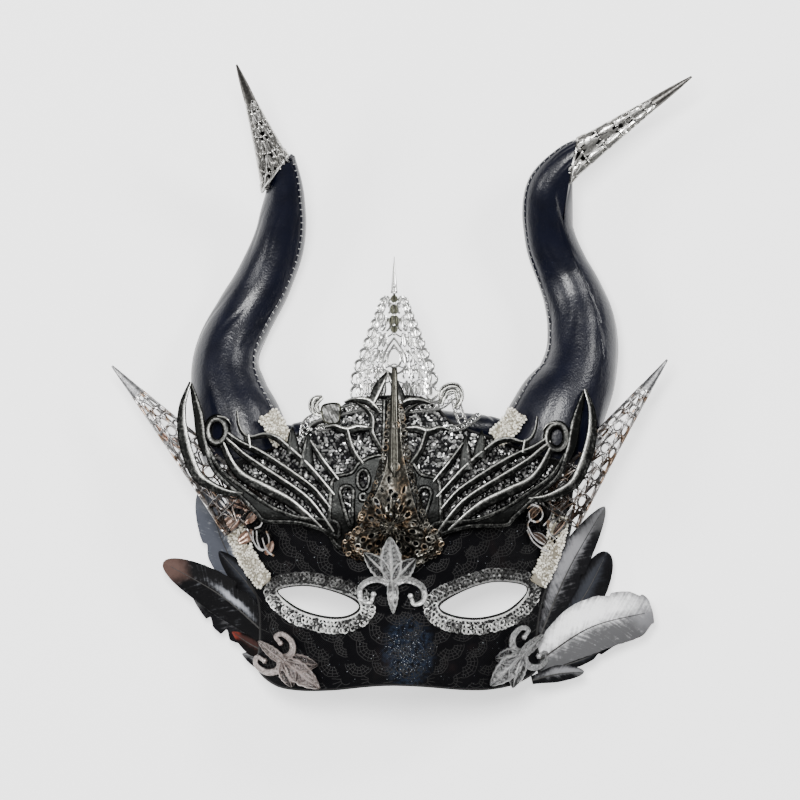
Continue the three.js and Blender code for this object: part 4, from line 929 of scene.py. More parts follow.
def buildBand(leather):
    # A roll of leather: ovals along a line, with slanting creases
    piece = Piece()
    t = np.linspace(0, 1, bandGrid["along"])
    angles = roundTurns(bandGrid["around"])
    centre, spread = lofted(bandStops, t, angles)
    crease = 0.5 * np.maximum(0, np.sin(t[:, None] * 46 + angles[None] * 2)) ** 4
    points = centre[:, None] + spread * (1 - crease / 6)[..., None]
    under = insideOf(points.reshape(-1, 3)[:, :2], shellOutline).reshape(points.shape[:2])
    roof = shellFront(points[..., 0], points[..., 1]) - shellShape["wall"] - 0.3
    points[..., 2] = np.where(under, np.minimum(points[..., 2], roof), points[..., 2])
    piece.add(*capped(points))
    piece.build("leatherBand", [leather], "horn_band", 60)


leather = makeLeather()
for side in ("left", "right"):
    buildHorn(side, leather, makeThread("paleStitch", (0.25, 0.25, 0.26), (0.6, 0.6, 0.58)))
buildBand(leather)


# Filigree: little scrolls, drops and rings bent from wire
cellSteps = 13


def cellMotifs(kind):  # the wires of a cell that runs -1 to 1 across and 0 to 1 up
    s = np.linspace(0, 1, cellSteps)
    turn = 2 * math.pi * s
    curl = math.pi * (-0.55 + 1.75 * s)
    reach = mixed(1.0, 0.25, s)
    scroll = np.stack([0.47 + 0.42 * reach * np.cos(curl), 0.5 + 0.44 * reach * np.sin(curl)], 1)
    drop = np.stack([0.3 * np.sin(turn) * np.sin(turn / 2), 0.08 + 0.84 * (0.5 + 0.5 * np.cos(turn))], 1)
    strut = np.stack([1 + 0.1 * np.sin(turn), s], 1)
    ring = np.stack([1 + 0.2 * np.cos(turn), 0.52 + 0.2 * np.sin(turn)], 1)
    small = np.stack([0.17 * np.cos(turn), 0.24 + 0.14 * np.sin(turn)], 1)
    arch = np.stack([mixed(-1, 1, s), np.sin(math.pi * s) * 0.95], 1)
    wave = np.stack([mixed(-1, 1, s), 0.5 + 0.42 * np.cos(math.pi * mixed(-1, 1, s))], 1)
    mirror = np.array([-1, 1])
    oval = np.stack([0.8 * np.cos(turn), 0.5 + 0.44 * np.sin(turn)], 1)
    sets = {
        "ovals": [oval, strut],
        "net": [arch, strut],
        "scrolls": [scroll, scroll * mirror, drop, small, strut],
        "drops": [drop, strut, ring, wave],
        "rings": [ring, strut, small + [0, 0.5], scroll * [0.9, 0.8], scroll * mirror * [0.9, 0.8]],
        "arches": [arch, drop * [1, 0.7], small, strut],
        "loops": [arch, arch * [0.55, 0.62], small],
    }
    return np.array(sets[kind])


def conePoint(cone, t, angle, lift=0.0):
    # Base plus the axis times t, then the width at t less the lift, times the cosine sideways and the sine
    # outwards
    base, tip = np.array(cone["base"], float), np.array(cone["tip"], float)
    along = unit(tip - base)
    side = unit(np.cross(along, [0, 0, 1.0]))
    front = np.cross(side, along)
    t, angle = np.broadcast_arrays(t, angle)
    width = mixed(cone["radius"], 0.5, t) + cone["bow"] * np.sin(math.pi * np.clip(t, 0, 1)) - lift
    out = side * np.cos(angle)[..., None] + front * (cone["flatness"] * np.sin(angle))[..., None]
    return base + (tip - base) * t[..., None] + out * width[..., None], unit(out)


def addConeWires(piece, cone, rows, thickness, keep, tones, facing=False):
    # Rows of cells round the cone, thinner towards its tip; facing leaves out those behind
    for t0, t1, count, kind in rows:
        cells = cellMotifs(kind)
        centres = roundTurns(count, 0.5 * (round(t0 * 100) % 2))
        if facing:
            centres = centres[np.sin(centres) > -0.55]
        angle = centres[:, None, None] + cells[None, ..., 0] * math.pi / count
        t = np.broadcast_to(t0 + (t1 - t0) * cells[None, ..., 1], angle.shape)
        radius = mixed(thickness, thickness * 0.55, t0)
        places, out = conePoint(cone, t.reshape(-1, cellSteps), angle.reshape(-1, cellSteps), radius)
        kept = keep(places)
        if kept.any():
            piece.addWires(places[kept], radius, 0, mixed(*tones, t0), up=out[kept], flat=1.15)
        addHoop(piece, cone, t0, radius * 0.8, keep, mixed(*tones, t0) + 0.15)


def addHoop(piece, cone, t, radius, keep, tone=0.95):
    # A rope of beads round the cone
    loop, out = conePoint(cone, t, np.linspace(0, 2 * math.pi, 121), radius)
    count = max(8, int(lengthOf(loop) / (radius * 2.3)))
    spots = evenly(loop[:-1], count, closed=True)
    outward = evenly(out[:-1], count, closed=True)
    kept = keep(spots[:, None])
    if kept.any():
        frames = framesOn(unit(outward[kept]), outward[kept, 0])
        piece.addStones(ball, spots[kept], frames, [[radius * 1.15] * 3], 0, tone)


def addConeLining(piece, cone, starts, end, lift, finish):
    # A closed thin cone inside the wires: an outer and a smaller inner skin, joined at both rims.
    # It starts at its own place along the cone on each side
    rows, sides = 24, len(starts)
    t = np.concatenate([np.linspace(starts, end, rows), np.linspace(end + 0 * starts, starts, rows)])
    depth = np.repeat([lift, lift + 0.4], rows)[:, None]
    depth = np.minimum(depth, mixed(cone["radius"], 0.5, t) * 0.8)
    grid, _ = conePoint(cone, t, roundTurns(sides)[None], depth)
    piece.add(grid.reshape(-1, 3), gridFaces(2 * rows, sides, True, True), finish, tone=0.1)


def addConePoint(piece, cone, start, finish, swell):
    # The solid point: rings from the start to the tip, swelling by a sine, and a step inwards below
    rings, sides = 37, 20
    t = np.concatenate([[start], np.linspace(start, 1, rings - 1)])
    lift = -swell * np.sin(math.pi * np.linspace(0, 1, rings))
    lift[0] += mixed(cone["radius"], 0.5, start) * 0.6
    grid, _ = conePoint(cone, t[:, None], roundTurns(sides)[None], lift[:, None])
    piece.add(*capped(grid), finish, tone=0.35)


petalSection = {"across": [-1, -0.93, -0.8, -0.62, -0.2, 0, 0.2, 0.62, 0.8, 0.93, 1, 0.6, 0, -0.6],
                "rise": [0, 0.55, 0.7, 0.25, 0.2, 0.5, 0.2, 0.25, 0.7, 0.55, 0, -0.25, -0.3, -0.25]}


def addPetal(piece, path, halfWidth, finish, scale, ground, tone=None):
    # A leaf along a path: half width times the root of a sine, with a raised rim and a middle vein
    t = np.linspace(0, 1, len(path))
    half = halfWidth * np.sin(math.pi * np.clip(t * 0.93 + 0.07, 0, 1)) ** 0.75 + 0.12
    rise = np.array(petalSection["rise"])
    across = half[:, None] * np.array(petalSection["across"])
    edge = np.clip((rise - 0.2) * 2.2, 0, 1) if tone is None else np.full(len(rise), tone)
    piece.addSwept(path, across, rise * scale, finish, np.tile(edge, len(path)), ground=ground)


tipCones = {
    "left": {"base": [-55.2, 201.4, 36], "tip": [-75.4, 255.6, 78], "radius": 9.6, "flatness": 1.0,
             "bow": -0.6},
    "right": {"base": [80.2, 208, 37.5], "tip": [142.4, 251.2, 42], "radius": 8.4, "flatness": 1.0,
              "bow": 0.0},
}
tipRows = [(0.02, 0.16, 7, "scrolls"), (0.16, 0.3, 7, "drops"), (0.3, 0.43, 6, "scrolls"),
           (0.43, 0.54, 6, "rings"), (0.54, 0.64, 5, "scrolls"), (0.64, 0.72, 5, "loops")]


def buildTip(side, silver, dark, lining):
    piece = Piece()
    cone = tipCones[side]
    keep = lambda places: (pastTip(side, places) > -0.5).mean(-1) > 0.8
    addConeWires(piece, cone, tipRows, 0.78, keep, (0.6, 0.85))
    addConePoint(piece, cone, 0.7, 1, 0.25)
    for t in (0.72, 0.78, 0.86):
        addHoop(piece, cone, t, 0.36, lambda places: np.ones(len(places), bool))
    # Hem where the cone meets the horn's slanting end: a rim and a row of scallops
    t = np.linspace(-0.25, 0.6, 240)
    angle = roundTurns(96)
    hem = t[np.argmax(pastTip(side, conePoint(cone, t[:, None], angle[None])[0]) > 0, axis=0)]
    addConeLining(piece, cone, hem[::4] + 0.015, 0.74, 1.5, 2)
    for scallop, radius in ((0.0, 0.7), (0.06, 0.6)):
        path, out = conePoint(cone, hem + 0.01 + scallop * np.abs(np.sin(5 * angle)), angle, -0.1)
        piece.addWires(path, radius, 0, 0.7, up=out, closed=True)
    piece.build("filigreeTip" + side.title(), [silver, dark, lining], "horn_tip_" + side, 50)


antique = metalFinish("antiqueSilver", (0.05, 0.046, 0.042), (0.68, 0.67, 0.64), 0.22, 0.06)
darkPoint = metalFinish("darkPoint", (0.07, 0.066, 0.062), (0.4, 0.39, 0.37), 0.3, 0.06)
tarnish = metalFinish("tarnishedLining", (0.003, 0.003, 0.003), (0.02, 0.019, 0.017), 0.55, 0.2)
for side in ("left", "right"):
    buildTip(side, antique, darkPoint, tarnish)

# Side spikes: openwork cones with a solid steel point
sideCones = {
    "left": {"base": [-61.5, 31.5, 43], "tip": [-136.2, 112.4, 27], "radius": 17.5, "flatness": 0.6,
             "bow": -0.6},
    "right": {"base": [69.5, 33, 43], "tip": [131, 115.4, 27], "radius": 16, "flatness": 0.6, "bow": -0.6},
}
sideRows = [(0.12, 0.19, 11, "net"), (0.19, 0.26, 11, "ovals"), (0.26, 0.33, 10, "net"),
            (0.33, 0.4, 10, "ovals"), (0.4, 0.46, 10, "net"), (0.46, 0.52, 9, "ovals"),
            (0.52, 0.58, 9, "net"), (0.58, 0.64, 8, "ovals"), (0.64, 0.69, 8, "net"),
            (0.69, 0.74, 7, "ovals"), (0.74, 0.79, 7, "net"), (0.79, 0.83, 6, "ovals")]
# At the spikes' feet: petals and loops over the joint. A petal is a line, half its width and its finish
footPetals = {
    "left": [([[-82.1, 51.4], [-77.8, 47.5], [-73.9, 43.7]], 2.5, 3),
             ([[-73, 42.7], [-70.1, 46.1], [-67.2, 49]], 2.6, 3),
             ([[-83.5, 33.1], [-79.2, 36.5], [-74.4, 40.8]], 3.4, 3),
             ([[-75.4, 27.4], [-72, 29.8], [-68.6, 33.6]], 2.8, 3),
             ([[-72, 36.5], [-69.1, 39.4], [-65.8, 43.2]], 2.0, 3),
             ([[-61.9, 21.6], [-60.5, 24.5], [-58.6, 28.3]], 1.9, 3),
             ([[-109, 76.8], [-104.6, 75.4], [-99.8, 72]], 2.4, 3),
             ([[-116.6, 85], [-112.8, 81.1], [-108.5, 75.8]], 2.2, 3)],
    "right": [([[70.1, 45.1], [66.7, 42.2], [63.4, 37.9]], 2.2, 0),
              ([[73.4, 26.4], [70.1, 29.8], [65.8, 32.2]], 2.0, 0),
              ([[82.1, 48], [78.2, 45.1], [73.9, 42.7]], 2.0, 0),
              ([[82.1, 38.4], [79.2, 34.6], [75.8, 30.7]], 1.8, 0)],
}
footLoops = {
    "left": [[[-77.8, 40.3], [-74.4, 38.4], [-71.5, 34.1], [-68.6, 27.8]],
             [[-66.7, 33.1], [-66.2, 27.8], [-64.3, 24], [-61.4, 25], [-60.5, 28.8], [-61.9, 33.1]],
             [[-68.6, 33.1], [-68.2, 28.3], [-65.8, 24.5], [-63.4, 23.5]],
             [[-63.8, 29.8], [-62.9, 26.4], [-61, 23], [-58.1, 21.1]],
             [[-65.8, 42.2], [-63.8, 39.4], [-64.8, 35.5], [-67.7, 34.1]],
             [[-61, 45.6], [-63.8, 44.2], [-63.4, 40.8], [-60, 39.8]]],
    "right": [[[63.4, 44.2], [66.2, 45.6], [70.1, 43.7], [71, 39.8], [68.2, 37.4], [64.8, 38.9],
               [64.3, 41.8]], [[72, 26.4], [68.6, 28.3], [65.3, 32.2], [63.8, 36.5], [66.2, 39.8]],
              [[73.9, 23], [70.1, 25], [66.2, 28.3], [63.4, 33.6]],
              [[73.4, 48], [75.8, 44.2], [74.9, 39.4], [71.5, 35.5]],
              [[79.2, 49.4], [81.1, 45.1], [79.2, 39.8], [75.4, 36.5]],
              [[85, 45.1], [84, 39.4], [80.6, 34.1], [75.8, 29.8]],
              [[60, 49], [63.8, 48.5], [67.7, 49.4], [72, 48]],
              [[77.3, 28.8], [74.4, 32.2], [73.9, 36.5], [77.3, 39.4]]],
}


def clearOfMask(places):  # wires that neither sink into the shell nor rise through the crest
    x, y, z = places[..., 0], places[..., 1], places[..., 2]
    above = (z > shellFront(x, y) + 0.6) | (y > crownEdge(x) + 0.5) | (np.abs(x - 2.5) > 83)
    below = (z < crestGround(x, y) - 0.7) | (np.abs(x + 4) > 99)
    return (above & below).all(-1)


def buildSideSpike(side, silver, steel, copper, lining):
    piece = Piece()
    cone = sideCones[side]
    # The wires' tone runs from 0.15 at the foot to 0.75 near the point: painted shade over the foot, which
    # sits under the crest
    addConeWires(piece, cone, sideRows, 0.56, clearOfMask, (0.15, 0.75), facing=True)
    addConePoint(piece, cone, 0.82, 1, 0.1)
    for turn in (0.02, 0.98, 1.35, 1.65):
        path, out = conePoint(cone, np.linspace(0.14, 0.84, 90), np.full(90, turn * math.pi), 0.4)
        kept = clearOfMask(path[:, None])
        piece.addWires(path[kept], 0.6, 0, 0.45, up=out[kept])
    foot = lambda x, y: np.maximum(onShell(2.6)(x, y), 20.0)
    for line, half, finish in footPetals[side]:
        addPetal(piece, smoothLine(line, 0.5), half, finish, 1.3, foot, None if finish == 0 else 0.62)
    for line in footLoops[side]:
        piece.addWires(smoothLine(line, 0.5), 0.5, 0, 0.55, ground=lambda x, y: foot(x, y) + 0.7)
    spots = scattered(smoothLoop(footGround[side], 1.0), 2.6, 0.4)
    sizes = dice.uniform(0.7, 1.25, len(spots))
    strewn(piece, [(ball, (1, 1, 0.8)), (cutStone, (1, 1, 0.8))], spots, foot, sizes, -0.9, 2, 0.5)
    finishes = [silver, steel, lining, copper]
    piece.build("openSpike" + side.title(), finishes, "side_spike_" + side, 50)


footGround = {
    "left": [[-81.1, 50.9], [-71.5, 51.8], [-63.8, 48], [-61.9, 40.3], [-59, 28.8], [-63.8, 23],
             [-69.6, 25.9], [-74.4, 30.7], [-78.2, 38.4]],
    "right": [[85.9, 49], [77.3, 51.8], [64.8, 50.9], [61, 46.1], [62.9, 34.6], [69.6, 25], [75.4, 23],
              [79.2, 30.7], [84, 38.4]],
}
steel = metalFinish("paleSteel", (0.12, 0.12, 0.125), (0.7, 0.7, 0.7), 0.3, 0.06)
oldSilver = metalFinish("oldSilver", (0.035, 0.024, 0.018), (0.6, 0.6, 0.6), 0.26, 0.06,
                        hint=(0.3, 0.21, 0.15))
copper = metalFinish("roseCopper", (0.02, 0.01, 0.008), (0.6, 0.42, 0.34), 0.32, 0.16)
for side in ("left", "right"):
    buildSideSpike(side, oldSilver, steel, copper, tarnish)

# Front spike: a half cone of pierced olive bronze with a plain rib
claw = {"centreX": -0.2, "wall": 1.2, "footRise": 71.8, "cell": 0.62, "hem": 0.6, "rib": (111.2, 59.5)}
clawWidths = [[20, 24], [26, 23.4], [30, 21], [37, 16.2], [50, 12.8], [64, 9.8], [77, 7.2], [95, 3.6],
              [112, 1.0]]
clawDepths = [[20, 4], [30, 8.5], [40, 10.5], [60, 8.6], [80, 5.6], [100, 2.8], [112, 1]]
goldBronze = metalFinish("goldBronze", (0.02, 0.013, 0.008), (0.5, 0.39, 0.28), 0.3, 0.16,
                         hint=(0.4, 0.38, 0.33))
clawOutline = [
    [0.3, 111.4], [1.2, 103.2], [1.7, 96], [2.6, 81.6], [4, 69.6], [5.8, 61.4], [8.2, 50.4], [10.3, 43.2],
    [12.5, 37.9], [17.3, 34.6], [21.1, 30.2], [22.1, 25.9], [19.7, 22.1], [15.8, 21.1], [12.5, 18.7],
    [9.1, 17.8], [5.8, 20.2], [2.9, 18.7], [-0.5, 17.8], [-3.8, 19.2], [-7.7, 18.7], [-11, 21.1],
    [-15.8, 20.6], [-20.2, 22.1], [-23.5, 23.5], [-24, 27.8], [-21.1, 32.2], [-16.8, 35], [-14.9, 39.8],
    [-12, 46.6], [-8.6, 52.3], [-5.3, 60.5], [-3.4, 69.6], [-2.1, 81.6], [-1.2, 91.2], [-0.7, 100.8],
]
# Holes one by one over the sunburst, then rings of them: reach, number, and half their width and length
clawHoles = [([-2.9, 58.1], 1.1, 1.8, 0.0), ([-6.2, 53.3], 0.9, 1.4, 0.5), ([-8.6, 47], 1.2, 2.9, 0.45),
             ([-3.1, 45.1], 1.05, 2.3, -0.1), ([2.9, 44.6], 1.1, 2.3, -0.35), ([0, 49.9], 1.9, 2.2, 0.0),
             ([4.3, 53.3], 1.0, 2.2, -0.3), ([6.7, 47], 1.1, 2.2, -0.5)]
clawRings = [(6.6, 12, 0.72, 1.2), (10.6, 13, 1.25, 1.9), (15.0, 19, 1.25, 1.6), (19.4, 26, 1.3, 1.5)]
clawFlanks = [[[-2, 95], [-3.4, 84], [-4.7, 73], [-6.7, 63.4], [-10.1, 53.8], [-13.4, 46.1], [-16.8, 38.4]],
              [[2.5, 95], [3.9, 84], [5.5, 73], [7.2, 63.4], [9.6, 53.8], [11.8, 46.1], [14.9, 38.4]]]
sunburst = {"middle": np.array([-1.9, 35.5]), "rays": 26, "reach": 17, "depth": 0.55, "flatness": 0.86}


def table(stops, y):  # a value between the two stops on either side
    at, value = np.array(stops, float).T
    return np.interp(y, at, value)


def clawTop(x, y):
    # Foot plus depth times the root of one less the square of the way out, with the sunburst's flutes
    out = np.clip(np.abs(x - claw["centreX"]) / table(clawWidths, y), 0, 0.97)
    c = crestShape
    foot = claw["footRise"] - c["footFall"] * (1 - smoothStep(c["footFrom"], c["footTo"], y))
    dx, dy = x - sunburst["middle"][0], y - sunburst["middle"][1]
    away = np.hypot(dx, dy)
    fading = smoothStep(1.5, 4, away) * (1 - smoothStep(12, sunburst["reach"], away))
    flute = sunburst["depth"] * np.cos(sunburst["rays"] * np.arctan2(dy, dx)) * fading
    return foot + table(clawDepths, y) * np.sqrt(1 - out**2) + flute


def holeLoop(middle, wide, long, turn, count=22):
    angle = roundTurns(count)
    return middle + turned(wide * np.cos(angle), long * np.sin(angle), turn)


def outFromSun(reach, angle):  # a place at a reach from the sunburst's middle, on a flattened circle
    return sunburst["middle"] + reach * np.array([math.cos(angle), sunburst["flatness"] * math.sin(angle)])


def clawCuts(outline):
    # The single holes, and from each ring those that lie inside the outline and off the others
    loops = [holeLoop(*hole) for hole in clawHoles]
    middles = [hole[0] for hole in clawHoles]
    for number, (reach, count, wide, long) in enumerate(clawRings):
        for angle in roundTurns(count, 0.5 * (number % 2)):
            middle = outFromSun(reach, angle)
            loop = holeLoop(middle, wide, long, angle - math.pi / 2)
            clear = min(np.hypot(*(middle - other)) for other in middles) > 2.5
            if clear and insideOf(loop, outline).all() and nearest(loop, outline).min() > 0.45:
                loops.append(loop)
                middles.append(middle)
    return loops


def onClaw(more):
    return lambda x, y: clawTop(x, y) + more


def addClawRings(piece, outline):
    # Small rings up both flanks and two rows of them round the skirt, coppery at the lower left
    skirt = outline[outline[:, 1] < 37]
    start = np.argmax(np.linalg.norm(np.diff(skirt, axis=0), axis=1)) + 1
    skirt = np.roll(skirt, -start, 0)
    inner = skirt + (sunburst["middle"] - skirt) * 0.16
    chains = [(line, 1.6, 1.0, 1.15, 0.1) for line in clawFlanks]
    chains += [(skirt, 2.2, 0.95, 1.4, -0.2), (inner, 1.8, 0.75, 1.3, 0.3)]
    for line, step, size, stretch, lift in chains:
        loops = ringsAlong(np.asarray(line, float), step, size, stretch, 0.6, 0.4)
        rosy = (loops[:, 0, 0] < -6) & (loops[:, 0, 1] < 44)
        for mine, finish in ((rosy, 2), (~rosy, 0)):
            if mine.any():
                tone = np.repeat(dice.uniform(0.05, 0.65, mine.sum()), ringSteps * 6)
                piece.addWires(loops[mine], 0.32, finish, tone, closed=True, ground=onClaw(lift))


def addSunburst(piece):  # thirteen petals round a boss
    for angle in roundTurns(13):
        path = outFromSun(np.linspace(1.2, 5.6, 12)[:, None], angle)
        addPetal(piece, path, 1.0, 0, 0.8, onClaw(0.3))
    boss = onGround(sunburst["middle"][None], clawTop, 0.5)
    piece.addStones(ball, boss, upright(1), [[1.6, 1.6, 1.0]], 0, 0.3)


def addClawRib(piece):
    # A half round that narrows to the tip, with a fine line down each side of its middle
    steps = 90
    path = np.column_stack([np.full(steps, claw["centreX"]), np.linspace(*claw["rib"], steps)])
    t = np.linspace(0, 1, steps)
    half = mixed(1.3, 3.7, t) * np.clip((1 - t) * 12, 0.3, 1)
    angle = np.linspace(0, math.pi, 15)
    across = half[:, None] * -np.cos(angle)
    rise = mixed(1.2, 2.8, t)[:, None] * np.sin(angle) ** 0.8 - 0.6
    piece.addSwept(path, across, rise, 1, 0.3, ground=clawTop)
    for shift in (-0.42, 0.42):
        line = path + np.column_stack([half * shift, np.zeros(steps)])
        piece.addWires(line[2:-4], 0.22, 1, 0.7, sides=5, ground=onClaw(1.8))
    for middle, size in (([0.5, 84], 1.5), ([0.3, 64.3], 1.9)):
        piece.addWires(holeLoop(middle, size, size, 0), 0.42, 0, 0.8, closed=True, ground=onClaw(2.3))


def buildClaw():
    piece = Piece()
    outline = smoothLoop(clawOutline, 0.7)
    holes = clawCuts(outline)
    piece.addPlate(outline, holes, claw["cell"], clawTop, onClaw(-claw["wall"]), claw["hem"], 0, (0.14, 0.3))
    for loop in holes:
        piece.addWires(loop, 0.3, 0, 0.3 + 0.5 * dice.random(), closed=True, ground=onClaw(0.1))
    addClawRings(piece, outline)
    addSunburst(piece)
    addClawRib(piece)
    bronze = metalFinish("oliveBronze", (0.012, 0.011, 0.009), (0.42, 0.4, 0.35), 0.3, 0.12,
                         hint=(0.36, 0.26, 0.17))
    smoothRib = metalFinish("plainRib", (0.015, 0.0145, 0.012), (0.14, 0.135, 0.115), 0.33, 0.04)
    piece.build("bronzeClaw", [bronze, smoothRib, goldBronze], "front_spike", 50)


buildClaw()

# Rear spike: bright filigree with a chain down its middle, and a scroll to each side
rear = {"centreX": -0.4, "floor": 55.3, "depth": 7.0, "dropY": 117.0, "edge": 0.96}
rearWidths = [[92, 17], [98, 18.4], [106, 18.4], [111, 17.3], [115, 15.8], [120, 13.7], [128, 11],
              [137, 7.6], [146, 4.6], [150, 2.6], [166, 1.2]]
scallopSteps = [99.5, 6.6, 6.2, 5.6, 5.2, 4.8, 4.4, 4.0, 3.6, 3.2]
rearRows = [(98, 106, 3, "scrolls"), (106, 113.5, 3, "rings"), (113.5, 121, 2, "scrolls"),
            (121, 128.5, 2, "drops"), (128.5, 137, 1, "scrolls"), (137, 146, 1, "rings")]


rearLozenges = [(130, 2.0), (134, 3.2), (139.5, 2.6), (144.5, 2.0)]
rearBeads = [127.6, 131.8, 136.6, 142, 147.2, 150.5]
# Side scrolls: the width at the first stop and at the last, and the stops
rearBars = {
    "band": (3.8, 3.8, [[-21, 93.5], [-10, 92], [0, 91.6], [10, 92], [20, 93.5]]),
    "leftArm": (3.6, 4.2, [[-15, 93], [-24, 91], [-34, 89], [-42, 85], [-43.5, 79]]),
    "leftCurl": (2.6, 3.2, [[-34.6, 97.6], [-38.6, 95], [-38, 90.6], [-34, 88.6]]),
    "leftBrace": (2.4, 2.4, [[-26, 91.4], [-31, 83.6], [-37, 82.4]]),
    "rightArm": (3.6, 4.4, [[15, 93], [22, 94], [28, 98], [30, 92], [32, 86]]),
    "rightCurl": (2.8, 3.4, [[22, 94], [24, 100.6], [29, 101.6], [31, 97], [29, 92]]),
    "rightBar": (2.4, 2.4, [[26, 82], [31.2, 82.8], [36.6, 86], [40, 88.8]]),
}
rearLeaf = [[-34.1, 93.6], [-26.9, 94.1], [-26.4, 89.3], [-27.4, 85], [-33.1, 85.4], [-35, 89.8]]


def rearTop(x, y):  # floor plus depth times the root of one less the square of the way out
    out = np.clip(np.abs(x - rear["centreX"]) / table(rearWidths, y), 0, 0.97)
    depth = mixed(rear["depth"], 1.8, np.clip((y - 92) / 58, 0, 1))
    return rear["floor"] + depth * np.sqrt(1 - out**2) - 0.5


def onRear(more):
    return lambda x, y: rearTop(x, y) + more


def addRearRows(piece):
    # Rows of cells from the chain's side out to the edge, and a sagging wire under each row
    for y0, y1, count, kind in rearRows:
        cells = cellMotifs(kind)
        start = 0.2 if y0 < 128 else 0.1
        share = (rear["edge"] - start) / count
        u = start + share * (np.arange(count) + 0.5)[:, None, None] + cells[None, ..., 0] * share / 2
        for side in (-1, 1):
            y = np.broadcast_to(y0 + (y1 - y0) * cells[None, ..., 1], u.shape)
            x = rear["centreX"] + side * u * table(rearWidths, y)
            piece.addWires(np.stack([x, y], -1).reshape(-1, cellSteps, 2), 0.6, 0, 0.9, ground=rearTop)
    u = np.linspace(-0.95, 0.95, 30)
    for y in [row[0] for row in rearRows] + [rearRows[-1][1]]:
        sag = 2.2 * np.abs(np.sin(1.5 * math.pi * u))
        line = np.column_stack([rear["centreX"] + table(rearWidths, y) * u, y - sag])
        piece.addWires(line, 0.4, 0, 0.5, ground=rearTop)


def addScallops(piece):
    # Loops down both edges, smaller towards the top, and two drops one inside the other
    for side in (-1, 1):
        for y, size in zip(np.cumsum(scallopSteps), np.linspace(3.1, 1.5, len(scallopSteps))):
            middle = [rear["centreX"] + side * (table(rearWidths, y) - 0.4), y]
            loop = holeLoop(middle, 0.85 * size, size, 0, 26)
            piece.addWires(loop, 0.8, 0, 1.0, closed=True, ground=rearTop)
    for wide, deep in ((5.4, 8.6), (3.2, 5.4)):
        turn = roundTurns(46)
        x = rear["centreX"] + wide * 1.3 * np.sin(turn) * np.sin(turn / 2)
        drop = np.column_stack([x, rear["dropY"] + deep * np.cos(turn)])
        piece.addWires(drop, 0.6, 0, 1.0, closed=True, ground=onRear(0.5))


def addChain(piece):
    # Dark lozenges with bright beads, and the shaft of three wires above them
    for y, size in rearLozenges:
        path = np.linspace([rear["centreX"], y - size], [rear["centreX"], y + size], 14)
        addPetal(piece, path, size * 0.85, 1, 1.2, onRear(0.8))
    beads = onGround(np.array([[rear["centreX"], y] for y in rearBeads]), rearTop, 1.5)
    piece.addStones(ball, beads, upright(len(beads)), 1.0, 0, 1.0)
    taper = np.linspace(1, 0.25, 24)
    for shift, size in ((-0.95, 0.8), (0.95, 0.8), (0, 0.75)):
        y = np.linspace(147, 164.6 - abs(shift) * 3, 24)
        path = np.column_stack([rear["centreX"] + shift * taper, y])
        piece.addWires(path, size * taper, 0, 0.9, ground=onRear(0.7))


def addSideScrolls(piece):
    # The curls are leaves; the arms are two wires with rings between them; and one grooved leaf
    flat = lambda more: lambda x, y: np.full(np.shape(x), rear["floor"] + more)
    for name, (first, last, stops) in rearBars.items():
        line = smoothLine(stops, 0.8)
        if name.endswith("Curl"):
            addPetal(piece, line, last * 0.8, 0, 1.4, flat(1.2))
            continue
        out = unit(np.stack([np.gradient(line[:, 1]), -np.gradient(line[:, 0])], 1)) * (first + last) / 4
        rings = ringsAlong(line, 2.1, last * 0.3, 1.0, 0.3, 0.25)
        for paths, size in ((np.stack([line + out, line - out]), 0.55), (rings, 0.42)):
            piece.addWires(paths, size, 0, 0.75, closed=paths is rings, ground=flat(1.0))
    leaf = smoothLoop(rearLeaf, 0.8)
    top = lambda x, y: rear["floor"] + 2.0 + 0.35 * np.sin(2.4 * x + 1.2 * y)
    piece.addPlate(leaf, [], 0.6, top, flat(0.0), finish=2, tones=(0.4, 0))
    piece.addWires(leaf, 0.5, 1, 0.2, closed=True, ground=top)


def buildRear(silver, dark):
    piece = Piece()
    addRearRows(piece)
    addScallops(piece)
    addChain(piece)
    addSideScrolls(piece)
    greyLeaf = metalFinish("greyLeaf", (0.08, 0.08, 0.078), (0.45, 0.45, 0.43), 0.35, 0.15)
    piece.build("brightSpire", [silver, dark, greyLeaf], "rear_spike", 50)


bright = metalFinish("brightSilver", (0.14, 0.14, 0.13), (0.9, 0.9, 0.88), 0.2, 0.06)
buildRear(bright, metalFinish("olivePewter", (0.03, 0.03, 0.022), (0.3, 0.3, 0.26), 0.3, 0.1))


# Eye trims: looped silver braid, with a cord along the eye and beads along the outside
eyeTrim = {"out": 3.9, "outTop": 0.9, "half": 2.7, "bead": 0.7, "beadStep": 2.3, "step": 1.75,
           "strand": 0.36, "cord": 0.4, "spacing": 0.5}


# Rows of rings: how far out in half widths, their size, their stretch and their lift
eyeRows = [(-0.6, 1.05, 0.75, 1.0), (0.1, 1.4, 0.7, 1.4), (0.85, 1.3, 0.9, 1.0)]


def outwardOf(loop):  # each point's direction away from the loop's middle, square to the loop
    ahead = unit(np.roll(loop, -1, 0) - np.roll(loop, 1, 0))
    out = np.stack([ahead[:, 1], -ahead[:, 0]], 1)
    return out * np.where(((loop - loop.mean(0)) * out).sum(1) < 0, -1, 1)[:, None]


def eyeLoop(side, spacing):  # an eye's edge, its corners rounded by a coarse loop first
    return smoothLoop(smoothLoop(eyePoints[side], 3.6), spacing)


def lowness(spots):  # 1 below the eye and 0 above it
    return 1 - smoothStep(-3, 6, spots[:, 1])


